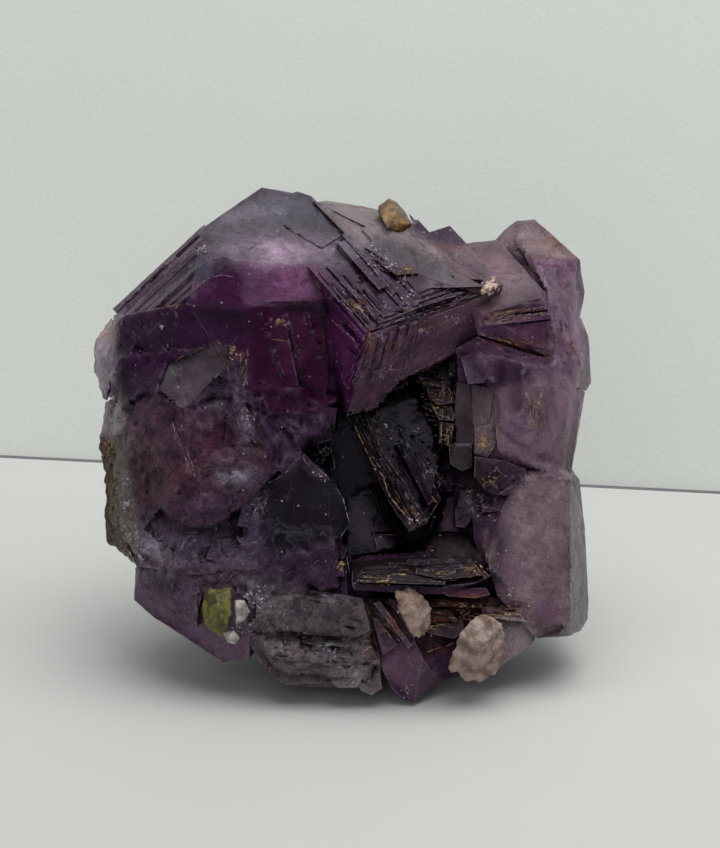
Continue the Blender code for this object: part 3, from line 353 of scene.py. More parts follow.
def hairLinesGroup():
    # thin irregular bright cracks: the borders between stretched, bent cells
    group, given, out = newGroup("hairLines", {"Where": None, "Scale": 400.0, "Width": 0.03}, ["Mask"])
    bend = group.nodes.new("ShaderNodeTexNoise")
    bend.inputs["Scale"].default_value = 500.0
    bend.inputs["Detail"].default_value = 3.0
    group.links.new(given["Where"], bend.inputs["Vector"])
    shift = group.nodes.new("ShaderNodeVectorMath")
    shift.operation = "MULTIPLY_ADD"
    shift.inputs[1].default_value = (0.0016, 0.0016, 0.0016)
    group.links.new(bend.outputs["Color"], shift.inputs[0])
    group.links.new(given["Where"], shift.inputs[2])
    turn = group.nodes.new("ShaderNodeMapping")
    turn.inputs["Rotation"].default_value = (0.5, 0.3, 0.7)
    turn.inputs["Scale"].default_value = (1.0, 1.0, 0.35)
    group.links.new(shift.outputs[0], turn.inputs["Vector"])
    cells = group.nodes.new("ShaderNodeTexVoronoi")
    cells.feature = "DISTANCE_TO_EDGE"
    group.links.new(turn.outputs[0], cells.inputs["Vector"])
    group.links.new(given["Scale"], cells.inputs["Scale"])
    line = addRamp(group, cells.outputs["Distance"], 0.0, given["Width"], 1.0, 0.0)
    broken = addRamp(group, addNoise(group, given["Where"], 330.0, 3.0, 0.6), 0.48, 0.62)
    group.links.new(addMath(group, "MULTIPLY", line, broken), out["Mask"])
    return group


dustVeil = dustVeilGroup()
specks = speckGroup()
growthLines = growthLinesGroup()
hairLines = hairLinesGroup()


def useGroup(tree, group, values):
    node = tree.nodes.new("ShaderNodeGroup")
    node.node_tree = group
    feedAll(tree, node, values)
    return node.outputs[0]


def newMaterial(name):
    made = bpy.data.materials.new(name)
    made.use_nodes = True
    tree = made.node_tree
    where = tree.nodes.new("ShaderNodeTexCoord").outputs["Object"]
    return made, tree, tree.nodes["Principled BSDF"], where


def addBump(tree, height, strength, distance, normal=None):
    node = tree.nodes.new("ShaderNodeBump")
    feedAll(tree, node, {"Strength": strength, "Distance": distance, "Height": height})
    if normal is not None:
        tree.links.new(normal, node.inputs["Normal"])
    return node.outputs["Normal"]


# what the fluorite looks like where nothing else is said
fluorite = {
    "bodyTint": (72, 46, 74),
    "bodyRough": 0.3,
    "paleTint": (168, 158, 176),
    "dustTint": (160, 152, 164),
    "goldTint": (160, 120, 76),
    "rustTint": (126, 72, 40),
    "crackTint": (176, 168, 184),
    "ior": 1.434,
    "transmission": 0.5,
    "absorbTint": (0.46, 0.14, 0.52),
    "absorbPerMetre": 95.0,
    "specular": 0.12,
    "glintTint": (0.3, 0.24, 0.34),
    "gloss": 0.16,
    "coatRough": 0.14,
    "cloudLight": 0.85,
    "frontEdge": 0.8,
    "paintedDepth": -9.0,  # what lies further back keeps the body tint
    "deepScale": 170.0,
    "wispScale": 620.0,
    "gritScale": 3600.0,
    "crackScale": 420.0,
    "rustScale": 640.0,
    "dustPatches": 130.0,
    "dustAmount": 0.05,
    "speckScale": 1500.0,
    "speckShare": 0.06,
    "speckTint": (206, 198, 204),
    # cloud size and strength in millimetres: all over, then on broken ground and on the crust alone
    "roughening": {"": ((2.6, 0.16), (0.9, 0.08)), "broken": ((3.4, 0.35), (1.2, 0.28)),
                   "crust": ((1.5, 0.75), (0.6, 0.5))},
}

# outline as seen (u, v), screen tint and roughness of each facet that stands out
facetTints = {
    "crownTop": ([(-10.4, 60.6), (-6, 60), (-4.3, 59.5), (2.2, 52), (0, 50.5), (-3.2, 50.9), (-14, 51.5),
        (-18, 53.4), (-17.6, 55.8)], (86, 79, 89), 0.45),
    # the bevel band's bright purple is partly its own tone and partly painted glow of light through the thin
    # edge
    "bevelBand": ([(-12.5, 45.8), (-12.6, 50.4), (-14, 51.4), (-3.2, 50.9), (-2.9, 48.1), (-2.5, 46.3),
        (-6, 46.5), (-9, 46.2)], (88, 40, 80), 0.2),
    "bevelBandLeft": ([(-20, 46.8), (-18.5, 48.5), (-16.8, 49.8), (-12.6, 50.6), (-12.5, 45.6),
        (-16, 45.8), (-20, 46)], (72, 26, 68), 0.2),
    "darkFront": ([(-28.5, 45), (-12, 45.6), (-12, 37), (-14.8, 41), (-23, 37), (-29.5, 38)], (68, 29, 70),
        0.3),
    "mainFront": ([(-12, 45.6), (-2.2, 46.3), (-2, 38), (-1, 33), (-11, 32), (-12, 37)], (72, 18, 62),
        0.22),
    "cornerLeft": ([(-2.8, 48.2), (3, 42.2), (0.5, 33), (-1.5, 35), (-2.3, 44)], (104, 46, 102), 0.15),
    "cornerRight": ([(3, 42.2), (0.5, 32.5), (3.5, 32.7), (7, 36.5), (10, 38), (14, 40), (17.4, 43.5),
        (17.4, 46.8)], (129, 96, 117), 0.2),
    "terraces": ([(-2.8, 48.3), (3, 42.2), (17.5, 47), (14, 48.2), (2.2, 52), (-1, 50.4)], (68, 38, 62),
        0.22),
    "upperPlate": ([(4, 55), (8, 53.5), (14, 49), (14, 48.2), (10.3, 48), (9.3, 49.5), (2.3, 53)],
        (104, 96, 104), 0.4),
    "topRim": ([(-4.5, 59.6), (2.2, 52.4), (4, 55), (8, 53.5), (14, 49.4), (18, 49), (12, 52.9), (4, 58),
        (-2, 59.6)], (157, 140, 144), 0.45),
    "shoulder": ([(-28.9, 45.2), (-18, 56.4), (-16, 51.6), (-17, 49.8), (-20, 46.6), (-28, 44)],
        (112, 88, 108), 0.25),
    "greyFacet": ([(-22, 38.2), (-15.8, 41.2), (-14.8, 40.5), (-14.7, 38.3), (-19.6, 33.2), (-20.5, 33.2),
        (-23.2, 35.3)], (96, 82, 92), 0.5),
    # a small facet that lies in shade: its near black is painted shade
    "shadowWedge": ([(-15.5, 37.6), (-14.8, 34.6), (-18, 35)], (34, 16, 38), 0.2),
    "leftBody": ([(-27.5, 33.4), (-14.8, 34), (-12, 33.6), (-9.8, 28), (-9.6, 24.4), (-15.5, 18.4),
        (-20, 18.2), (-27, 22)], (78, 51, 70), 0.4),
    "underLip": ([(-27, 21.6), (-20, 18.2), (-15.5, 18.4), (-9.6, 23.6), (-11.4, 18), (-9, 14),
        (-12, 12.6), (-25.6, 13)], (115, 95, 116), 0.4),
    "slateFacet": ([(-9.5, 23.8), (-7.3, 24.8), (-5.2, 27.4), (-3.8, 24.4), (-2, 24.2), (-0.2, 21.8),
        (0.6, 18.6), (-0.5, 16.8), (-4, 16.2), (-9, 14.5), (-11.5, 18.5), (-9.5, 22)], (19, 12, 20), 0.4),
    "lowerLeft": ([(-26.4, 13.6), (-26.4, 8.6), (-21, 6), (-15.2, 1), (-11.6, 1.2), (-11.4, 12.6)],
        (119, 95, 114), 0.35),
    "lowerMiddle": ([(-12.6, 9.6), (-12, 1), (-7, -2), (4.6, -2.9), (4.6, 2), (2.8, 9.2), (-6, 10.4)],
        (126, 112, 118), 0.25),
    "ledgeTop": ([(0.8, 13.8), (10.5, 14.5), (11, 17.3), (15.5, 17.5), (16.7, 16.5), (18.3, 12),
        (12.5, 10.5), (1, 10.9)], (30, 19, 24), 0.4),
    "bottomCrystal": ([(3, 9.3), (4.6, 0), (8.6, -3.8), (12, -1.2), (9.4, 4.4), (9, 9.4)], (114, 84, 106),
        0.2),
    # the hollow's near black is partly the dark crystal and partly painted shade of its deep recess
    "hollow": ([(-4.8, 28), (0.5, 32.5), (3.5, 32.7), (7, 36.5), (13.6, 39.6), (13.9, 28), (12.6, 21),
        (12, 17.8), (10, 15), (0, 14.4), (-0.2, 21.8), (-2, 24.2)], (4, 2, 5), 0.12),
    "shieldFace": ([(7, 27), (11.6, 27.6), (11.6, 22.4), (9.4, 18.6), (7.6, 19.6), (6.4, 23)],
        (30, 14, 30), 0.14),
    "rustSteps": ([(9, 37), (13.5, 37), (13.6, 30), (11.8, 30), (10.2, 34)], (44, 34, 44), 0.3),
    "rightRoof": ([(11.7, 53), (19, 54), (20.5, 52.5), (24.3, 48), (24.3, 47), (17.5, 44.8), (14, 48.4)],
        (123, 99, 107), 0.35),
    "rightPeak": ([(18.8, 54), (21.5, 56.5), (23.7, 56.7), (29.6, 51.5), (29.4, 50), (22.5, 52)],
        (160, 132, 140), 0.4),
    "peakDark": ([(22.5, 52), (29.4, 51.6), (29.4, 50), (27, 48.6), (23.6, 49)], (138, 98, 133), 0.25),
    "rightLimb": ([(24.3, 48), (29.3, 50), (30.8, 38), (29.8, 32), (26, 32)], (148, 111, 140), 0.3),
    "duskyRight": ([(13.9, 41), (17.4, 44.6), (26, 45.6), (26, 36), (18.4, 34.6), (14, 35.4)],
        (100, 65, 96), 0.25),
    "fissured": ([(13.4, 36.2), (18.6, 35.8), (19, 27), (16, 25.4), (12.9, 25.6)], (118, 99, 106), 0.3),
    "greyPlates": ([(13.6, 28.2), (15.9, 28.2), (16, 25.8), (14.6, 25), (13, 26)], (50, 42, 44), 0.5),
    "rightMiddle": ([(18.6, 35.4), (26, 37), (30.2, 35.2), (28.2, 24), (19, 27)], (139, 112, 127), 0.3),
    "rightLumps": ([(16, 26.8), (22.8, 25.2), (20, 20), (16.2, 19.8), (13.8, 17.6), (13.8, 22.6)],
        (60, 40, 51), 0.25),
    "rightLower": ([(22.8, 25), (28, 23.7), (28, 6), (24, 4.3), (19, 10), (17.5, 16), (20, 21),
        (22, 23.3)], (143, 121, 126), 0.35),
    "rightSide": ([(28, 24), (30.6, 18), (30.6, 6), (28, 4.2), (27.9, 8)], (130, 118, 118), 0.3),
    "greyFoot": ([(18, 7), (23.8, 7), (23.4, 2), (18.4, -0.4)], (180, 160, 168), 0.3),
    "underLedge": ([(3, 9.6), (17.8, 9.8), (23.4, 8.6), (17.4, 6.4), (15, 4), (10, 1.8), (9, 5)],
        (60, 30, 40), 0.3),
    "crustBrown": ([(-32, 29.4), (-29.1, 29.0), (-29.0, 24), (-28.6, 19.6), (-27.2, 15.2), (-28, 12.6),
        (-32, 12.6)], (94, 74, 44), 0.55),
    "crustGrey": ([(-29.0, 29.0), (-27.8, 28.6), (-27.0, 22), (-25.8, 17), (-25.2, 13.2), (-27.4, 13.0),
        (-27.6, 16), (-28.8, 20)], (148, 137, 120), 0.5),
    "crustKnob": ([(-31, 34.2), (-28.2, 34.4), (-27.6, 32), (-28.2, 29.6), (-31, 29.6)], (184, 168, 178),
        0.35),
    "leftBump": ([(-31.6, 36.4), (-31.6, 41.4), (-29.2, 44.6), (-28.4, 42), (-29, 36), (-29.8, 33.8)],
        (220, 197, 214), 0.35),
}

# facets with clean borders
crispFacets = ("crownTop", "bevelBand", "cornerLeft", "cornerRight", "terraces", "greyFacet", "shadowWedge",
               "hollow", "shieldFace", "rustSteps", "greyPlates", "ledgeTop", "rightSide")

# soft clouds inside and on the crystal: place as seen (u, v), half widths, screen tint, strength; most are
# the crystal's own tone and stain, some are painted light: glow through thin edges and from inside, painted
# shade in the hollow and under the lip, and a painted glint
softClouds = (
    # crown; the bright pink and purple clouds at the bevel are painted glow of light through the thin edge
    (-8.6, 52.6, 5.4, 1.7, (214, 180, 212), 0.85),
    (-7.0, 57.6, 4.4, 1.8, (112, 112, 126), 0.7),
    (-12.4, 57.2, 3.2, 0.9, (160, 150, 166), 0.5),
    (-15.0, 53.6, 2.0, 1.2, (126, 120, 134), 0.5),
    (0.0, 53.4, 1.8, 1.0, (150, 138, 156), 0.5),
    (-6.0, 48.4, 3.0, 1.6, (170, 92, 156), 0.6),
    (-15.6, 48.6, 2.2, 1.2, (78, 32, 80), 0.6),
    (-12.6, 48.2, 0.5, 2.6, (84, 44, 92), 0.6),
    (-18.0, 50.6, 1.6, 1.6, (70, 76, 96), 0.8),
    (-21.6, 48.0, 2.2, 1.2, (72, 72, 92), 0.7),
    # its front; the reddish cloud in its middle is painted glow from inside the crystal
    (-5.0, 45.6, 5.0, 0.7, (30, 20, 34), 0.9),
    (-16.0, 44.6, 6.0, 0.9, (44, 24, 48), 0.7),
    (-5.6, 40.4, 3.0, 3.0, (88, 44, 66), 0.7),
    (-9.6, 38.0, 1.6, 3.0, (60, 20, 46), 0.6),
    (-4.0, 34.6, 3.6, 1.2, (52, 22, 52), 0.7),
    (-25.0, 42.4, 2.2, 1.6, (72, 44, 80), 0.6),
    (-27.6, 36.0, 1.2, 2.6, (38, 38, 46), 0.85),
    (-23.8, 36.4, 1.4, 1.4, (66, 50, 66), 0.5),
    (-13.4, 36.6, 0.9, 2.0, (96, 84, 106), 0.6),
    # left side
    (-29.8, 28.2, 0.7, 0.8, (150, 96, 40), 0.9),
    (-29.0, 32.2, 1.0, 1.6, (206, 198, 200), 0.8),
    (-27.4, 22.6, 0.8, 4.6, (138, 132, 130), 0.6),
    (-26.8, 15.4, 1.2, 1.2, (150, 138, 116), 0.7),
    (-30.0, 42.6, 0.9, 1.4, (222, 188, 164), 0.9),
    (-30.6, 38.4, 0.7, 2.2, (206, 196, 212), 0.6),
    (-28.0, 41.0, 0.8, 3.4, (50, 32, 56), 0.8),
    # broken body
    (-16.8, 29.8, 2.0, 2.6, (84, 36, 46), 0.6),
    (-19.6, 24.6, 2.6, 2.6, (118, 72, 82), 0.6),
    (-24.2, 28.0, 2.2, 4.0, (110, 82, 92), 0.65),
    (-24.0, 22.0, 2.0, 2.4, (116, 86, 94), 0.6),
    (-13.8, 24.4, 1.9, 0.9, (176, 166, 186), 0.8),
    (-17.4, 20.8, 2.8, 1.2, (110, 84, 120), 0.6),
    (-23.4, 15.4, 2.4, 1.6, (140, 132, 146), 0.7),
    (-19.4, 14.8, 2.0, 1.4, (118, 108, 128), 0.5),
    (-12.4, 30.6, 0.8, 1.6, (150, 140, 158), 0.6),
    (-16.0, 33.2, 1.8, 1.0, (96, 84, 108), 0.6),
    (-10.6, 33.0, 1.0, 0.9, (24, 16, 26), 0.8),
    # painted shadow: dark lines under the shell-like lip
    (-18.4, 17.6, 3.6, 0.6, (36, 24, 42), 0.9),
    (-22.6, 18.9, 1.6, 0.6, (44, 30, 50), 0.8),
    (-13.6, 19.4, 1.4, 0.7, (40, 28, 46), 0.8),
    (-16.0, 15.6, 3.4, 1.0, (48, 36, 60), 0.6),
    (-12.4, 17.4, 2.4, 1.4, (70, 54, 84), 0.6),
    (-6.0, 30.4, 3.6, 1.2, (66, 36, 70), 0.6),
    (-7.0, 26.6, 1.2, 1.4, (104, 88, 112), 0.5),
    (-8.4, 14.8, 3.4, 1.2, (42, 34, 50), 0.85),
    (-4.6, 16.8, 3.2, 1.2, (40, 34, 48), 0.8),
    (-9.2, 19.4, 1.2, 2.2, (40, 34, 48), 0.75),
    (-11.4, 19.0, 0.5, 1.8, (96, 84, 108), 0.6),
    (-3.0, 22.0, 2.2, 1.6, (44, 40, 50), 0.5),
    # lower blocks
    (-23.6, 10.8, 1.8, 1.4, (92, 80, 98), 0.6),
    (-20.4, 9.0, 1.6, 2.4, (64, 44, 72), 0.6),
    (-12.0, 11.2, 1.6, 1.0, (150, 142, 152), 0.6),
    (-9.0, 11.6, 1.8, 0.9, (118, 108, 124), 0.5),
    (-2.6, 12.8, 1.4, 1.0, (96, 84, 92), 0.5),
    (-1.2, 6.8, 3.2, 1.9, (66, 60, 72), 0.85),
    (-5.6, 7.2, 1.2, 1.0, (70, 64, 76), 0.7),
    (-9.8, 8.2, 1.2, 1.6, (150, 146, 152), 0.6),
    (-6.8, 9.4, 1.4, 0.6, (156, 148, 158), 0.6),
    (-3.8, 4.2, 4.0, 0.6, (28, 24, 32), 0.9),
    (-0.6, 2.6, 3.2, 0.5, (34, 28, 38), 0.85),
    # a painted glint on the lower block
    (-2.0, 3.5, 0.5, 0.25, (224, 220, 226), 0.9),
    (-8.2, 2.4, 1.6, 0.9, (146, 140, 146), 0.6),
    (-5.6, 0.4, 2.2, 0.7, (132, 126, 132), 0.6),
    (0.8, -0.5, 1.4, 0.8, (176, 172, 178), 0.7),
    (3.4, 3.4, 0.7, 3.4, (134, 112, 92), 0.8),
    # hollow and its neighbours; the near-black clouds in the hollow are the dark crystal with painted shade
    # of the deep recess
    (5.0, 24.4, 1.2, 3.4, (20, 12, 22), 0.8),
    (2.0, 24.0, 1.8, 4.0, (10, 6, 12), 0.9),
    (3.8, 17.0, 2.0, 0.9, (60, 26, 66), 0.7),
    (8.6, 18.6, 1.0, 0.9, (110, 90, 92), 0.7),
    (15.8, 37.4, 1.6, 1.6, (96, 84, 112), 0.7),
    (14.9, 20.6, 0.9, 2.0, (100, 98, 100), 0.7),
    # right crystal
    (20.6, 49.6, 3.0, 1.8, (176, 140, 158), 0.6),
    (16.0, 50.6, 2.0, 1.0, (150, 118, 140), 0.5),
    (21.0, 55.0, 1.6, 0.9, (196, 172, 172), 0.6),
    (22.0, 32.0, 1.8, 2.6, (150, 112, 146), 0.6),
    (27.6, 35.6, 1.2, 3.0, (158, 130, 152), 0.5),
    (18.8, 17.0, 1.3, 3.4, (90, 62, 90), 0.85),
    (19.0, 11.0, 1.5, 2.4, (84, 58, 84), 0.85),
    (20.4, 21.8, 1.0, 1.8, (100, 74, 100), 0.75),
    (25.0, 19.0, 2.2, 3.4, (178, 156, 168), 0.6),
    (25.0, 7.6, 2.2, 1.6, (140, 96, 132), 0.7),
    (21.0, 12.6, 1.6, 2.4, (122, 92, 118), 0.6),
    (19.6, 8.8, 1.6, 0.8, (104, 82, 96), 0.7),
    (13.6, 14.6, 2.2, 1.2, (84, 80, 84), 0.6),
    (5.4, 12.6, 3.0, 0.8, (56, 50, 54), 0.6),
    # darker patches
    (19.0, 15.4, 1.2, 2.6, (56, 40, 52), 0.85),
    (17.1, 18.5, 0.9, 0.9, (24, 14, 24), 0.85),
    (-20.9, 50.5, 1.2, 1.2, (48, 34, 52), 0.7),
    (3.1, 37.2, 1.0, 1.8, (58, 30, 62), 0.75),
    (22.0, 37.0, 2.4, 1.3, (56, 36, 58), 0.75),
    (19.6, 38.5, 1.4, 0.9, (58, 38, 58), 0.7),
    (15.1, 31.5, 0.9, 2.0, (50, 38, 48), 0.7),
    (-14.9, 14.5, 1.6, 0.9, (56, 44, 66), 0.7),
    (-18.9, 24.5, 1.2, 1.2, (58, 36, 48), 0.6),
    (-16.9, 30.5, 1.2, 1.2, (50, 24, 42), 0.6),
    (5.1, 4.5, 1.0, 1.2, (56, 32, 52), 0.6),
    # paler places
    (16.6, 46.8, 1.6, 0.9, (150, 124, 134), 0.6),
    (23.1, 50.6, 1.2, 0.9, (170, 142, 156), 0.6),
    (21.1, 52.5, 1.1, 0.8, (176, 150, 156), 0.6),
    (25.1, 48.5, 1.2, 1.0, (176, 146, 164), 0.6),
    (25.1, 40.5, 1.1, 1.2, (160, 130, 148), 0.7),
    (-26.9, 28.5, 1.0, 1.6, (150, 132, 136), 0.7),
    (-0.4, 52.2, 1.4, 0.9, (176, 160, 182), 0.6),
    (11.1, 48.5, 1.4, 0.8, (160, 146, 156), 0.5),
    (9.1, 44.5, 1.6, 0.8, (120, 104, 118), 0.6),
    (-2.9, 46.5, 1.0, 0.8, (120, 70, 116), 0.6),
    (-22.9, 12.5, 1.2, 0.8, (150, 140, 150), 0.6),
    (-8.9, 10.5, 1.4, 0.9, (150, 138, 146), 0.6),
    (15.1, 8.5, 3.2, 0.9, (190, 128, 114), 0.8),
    (15.1, 6.6, 1.6, 0.8, (160, 110, 96), 0.6),
    (11.1, 4.5, 1.0, 1.0, (130, 104, 108), 0.6),
)

# where iron stain and gilded edges are found: place as seen, half widths, strength
ironPlaces = (
    (3.1, 41.0, 0.7, 2.0, 1.0), (1.5, 45.8, 1.6, 1.0, 0.8), (7.6, 50.2, 1.6, 0.8, 0.9),
    (11.0, 43.4, 2.4, 0.9, 0.8), (5.4, 40.6, 1.6, 1.2, 0.7), (12.0, 53.0, 3.6, 0.9, 0.7),
    (1.6, 58.6, 3.0, 0.9, 0.8), (-22.0, 48.6, 4.0, 2.4, 0.5), (-21.4, 45.6, 1.6, 0.8, 0.9),
    (11.8, 34.0, 2.2, 3.4, 0.5), (12.8, 29.6, 1.2, 2.6, 0.45), (2.4, 28.6, 2.0, 4.0, 0.5),
    (7.2, 20.8, 1.2, 1.6, 0.8), (11.0, 21.4, 1.0, 1.0, 0.55), (17.4, 28.8, 1.4, 2.2, 0.55),
    (17.8, 23.6, 2.0, 0.9, 0.55), (21.0, 41.2, 5.0, 0.9, 0.8), (20.4, 45.0, 3.6, 0.9, 0.7),
    (28.5, 40.2, 0.9, 1.4, 0.9), (24.2, 31.4, 1.0, 2.6, 0.7), (26.6, 53.6, 2.6, 1.6, 0.8),
    (16.4, 12.6, 1.8, 1.2, 0.7), (5.6, 11.2, 2.0, 0.6, 0.9), (11.6, 12.2, 2.0, 0.6, 0.6),
    (14.6, 8.4, 2.2, 0.9, 1.0), (19.8, 7.0, 2.4, 0.8, 1.0), (12.0, 6.2, 2.2, 0.7, 1.0),
    (6.4, 5.6, 1.6, 2.0, 0.8), (11.6, 2.8, 2.0, 0.8, 0.8), (2.8, 3.0, 0.8, 1.2, 0.6),
    (-0.6, 13.2, 0.8, 0.8, 0.8), (12.7, 19.0, 0.8, 2.4, 0.6), (17.6, 16.0, 0.9, 3.0, 0.6),
    (-15.0, 39.8, 1.4, 0.9, 0.7), (-5.2, 27.0, 0.9, 1.4, 0.4),
)


def insideOutline(u, v, outline):
    inside = np.zeros(len(u), dtype=bool)
    for (u0, v0), (u1, v1) in zip(outline, outline[1:] + outline[:1]):
        if v0 == v1:
            continue
        crosses = ((v0 > v) != (v1 > v)) & (u < (u1 - u0) * (v - v0) / (v1 - v0) + u0)
        inside ^= crosses
    return inside


def spanOf(outline):
    # lowest and highest u, then v
    us = [u for u, v in outline]
    vs = [v for u, v in outline]
    return min(us), max(us), min(vs), max(vs)


# broken ground that has grown as one mass: outline as seen, and how it lies on the crystals under it
brokenGround = {
    "spacing": 0.45,
    "thickness": 4.5,
    "thinnest": 1.4,
    "lowest": 0.3,
    "border": 1.1,
    "deepest": -6.0,
    "deepestMarked": -4.0,
    "crustDeepest": -24.0,
    # how far the sheet is lifted, by how far inside its outline it lies; below "hanging" it is cut off
    "rim": ([0.25, 0.5, 0.9], [-4.0, -0.6, 0.12]),
    "hanging": -3.8,
    "gapStep": 3.0,
    # scale per millimetre and strength of the shell-like ridges, the lumps and the small flat faces
    "shells": (0.3, 0.16),
    "lumps": (0.9, 0.12),
    "shards": ((0.3, 0.9), (0.7, 0.5)),
    "relief": {"leftBody": 0.75, "lowerMiddle": 0.9, "rightCrystal": 0.45, "rightLower": 0.12},
    "outlines": {
        "leftBody": [(-29.6, 36.5), (-28.4, 39.6), (-24.6, 40.2), (-21.6, 40.4), (-13.8, 41.6),
            (-11.0, 36.6), (-6.0, 36.0), (-0.8, 34.6), (-1.2, 30.4), (-4.4, 27.6), (-7.4, 24.9),
            (-8.8, 23.4), (-9.8, 20.2), (-7.6, 18.0), (-3.4, 18.2), (-0.6, 17.8), (-0.2, 10.2),
            (-6.6, 9.2), (-12.4, 9.4), (-12.6, 3.4), (-15.4, 3.2), (-20, 6.8), (-25.2, 9.8), (-27.0, 14.2),
            (-28.4, 19.0), (-29.2, 27.0)],
        "lowerMiddle": [(-12.4, 9.8), (-12.2, 3.4), (-9.8, 1.4), (-9.2, -0.2), (-7.2, -1.4), (-2.2, -1.2),
            (0.4, -1.4), (4.2, -1.8), (4.2, 1.8), (2.4, 8.8), (0.2, 9.4), (-6.2, 10.4)],
        "rightCrystal": [(21.0, 53.6), (22.2, 56.0), (23.7, 56.2), (29.0, 51.0), (29.2, 45), (29.5, 38),
            (29.0, 34.6), (28.4, 31), (28.2, 24.8), (23.4, 25.2), (19.2, 28.0), (18.9, 31.4), (18.6, 35.0),
            (16.4, 37.4), (14.2, 40.0), (17.0, 40.8), (24.6, 38.6), (25.4, 44.0), (25.0, 48.4),
            (23.2, 51.0)],
        "rightLower": [(19.4, 20.4), (22.2, 25.4), (28.2, 25.6), (28.0, 5.4), (24.2, 4.0), (19.0, 9.4),
            (17.2, 15.6)],
    },
    # broken edges across it: on the right hand of each line it lies lower, by depth, for some way (reach)
    "ledges": (
        ([(-8.8, 24.6), (-10.4, 23.0), (-12.4, 21.2), (-15.0, 18.8), (-16.6, 18.1), (-18.6, 18.0),
            (-20.6, 18.6), (-22.6, 20.0)][::-1], 2.2, 5.0),
        ([(-19.0, 24.0), (-19.8, 26.4), (-20.6, 28.6), (-21.5, 31.0)], 0.35, 2.5),
        ([(-27.8, 32.6), (-25.6, 34.6), (-23.2, 34.8), (-20.4, 32.6), (-16.4, 34.6), (-14.6, 34.4)],
            0.7, 3.0),
        ([(-12.4, 33.8), (-11.6, 30.8), (-9.8, 28.2), (-9.4, 25.8)][::-1], 0.8, 3.0),
        ([(-12.2, 33.4), (-8.6, 32.0), (-4.2, 32.4), (-1.4, 33.6)], 0.6, 3.0),
        ([(-7.6, 30.4), (-6.0, 28.2), (-5.4, 26.4)], 0.5, 2.0),
        ([(-26.8, 15.6), (-22.4, 13.0), (-18.0, 12.4), (-12.6, 12.8)], 0.7, 3.0),
        ([(-14.6, 30.4), (-13.2, 26.8), (-14.2, 24.6), (-17.6, 22.6)], 0.4, 2.4),
        ([(-25.4, 26.0), (-24.6, 21.6), (-25.6, 18.0)][::-1], 0.5, 2.5),
        ([(-12.2, 5.4), (-6.0, 5.0), (0.4, 4.4), (4.0, 4.6)], 0.8, 2.0),
        ([(-9.4, 1.8), (-4.2, 1.2), (3.6, 1.4)], 0.6, 1.6),
        ([(-3.4, 9.8), (-4.6, 6.4), (-4.2, 3.4)], 0.5, 2.0),
        ([(27.0, 45.6), (26.4, 41.0), (27.2, 37.0), (29.6, 35.0)][::-1], 0.4, 2.4),
        ([(19.0, 30.2), (23.6, 27.6), (28.0, 25.6)], 0.4, 2.0),
    ),
    "flat": {
        "greyFacet": [(-22.2, 38.4), (-15.8, 41.2), (-14.7, 40.6), (-14.6, 38.2), (-19.7, 33.1),
            (-20.5, 33.0), (-23.4, 35.3)],
        "slateFacet": [(-8.6, 23.4), (-7.3, 24.6), (-5.2, 27.2), (-3.8, 24.2), (-2, 24.0), (-0.2, 21.6),
            (0.4, 18.9), (-3.4, 18.6), (-7.2, 18.2), (-9.4, 19.4), (-8.6, 22)],
    },
    "crust": [(-32.5, 45.0), (-29.6, 45.0), (-29.0, 37.0), (-28.6, 32.6), (-28.0, 27.0), (-27.2, 21.0),
        (-25.6, 15.6), (-25.0, 12.8), (-32.5, 12.6)],
    # how far a facet's plane is carried on over the ground beside it
    "carried": {
        "slateFacet": [(-9.6, 23.9), (-7.2, 23.6), (-6.4, 20.4), (-2.0, 19.8), (0.2, 19.2), (-0.2, 14.8),
            (-3.6, 13.8), (-8.8, 12.0), (-13.0, 16.0), (-11.8, 20.4)],
    },
}


def blurred(grid):
    for axis in (0, 1):
        grid = (np.roll(grid, 1, axis) + 2 * grid + np.roll(grid, -1, axis)) / 4
    return grid


def softMask(mask, passes):
    # blurs a grid of 0 and 1
    soft = mask.astype(float)
    for _ in range(passes):
        soft = blurred(soft)
    return soft


def ledgeDepth(gridU, gridV, line, depth, reach):
    # how far the ground drops on the right hand of the line, fading out over its reach
    nearest = np.full(gridU.shape, 99.0)
    drop = np.zeros(gridU.shape)
    for (u0, v0), (u1, v1) in zip(line, line[1:]):
        long = math.hypot(u1 - u0, v1 - v0)
        along = ((gridU - u0) * (u1 - u0) + (gridV - v0) * (v1 - v0)) / long ** 2
        share = np.clip(along, 0.0, 1.0)
        away = np.hypot(gridU - u0 - share * (u1 - u0), gridV - v0 - share * (v1 - v0))
        right = ((gridU - u0) * (v1 - v0) - (gridV - v0) * (u1 - u0)) > 0
        closer = away < nearest
        beside = (along > -0.25) & (along < 1.25)
        drop = np.where(closer, np.where(right & beside, depth * np.clip(1 - away / reach, 0.0, 1.0), 0.0),
                        drop)
        nearest = np.minimum(nearest, away)
    return drop


def shardAt(u, v, perMm):
    # small flat faces, each leaning its own way, in millimetres
    spot = Vector((u * perMm, v * perMm, 5.0))
    centre = noise.voronoi(spot)[1][0]
    lean = noise.cell_vector(centre * 37.0)
    return ((spot.x - centre.x) * (lean.x - 0.5) + (spot.y - centre.y) * (lean.y - 0.5)) * 1.6


def reliefAt(u, v):
    # how far the broken ground stands out, as a share of its relief
    shellScale, shellShare = brokenGround["shells"]
    lumpScale, lumpShare = brokenGround["lumps"]
    shells = noise.ridged_multi_fractal(Vector((u * shellScale, v * shellScale, 3.0)), 0.9, 2.1, 4, 1.0, 2.0)
    lumps = noise.fractal(Vector((u * lumpScale, v * lumpScale, 8.0)), 0.8, 2.0, 4)
    relief = shellShare * (shells - 1.2) + lumpShare * lumps
    for perMm, share in brokenGround["shards"]:
        relief += share * shardAt(u, v, perMm)
    return relief


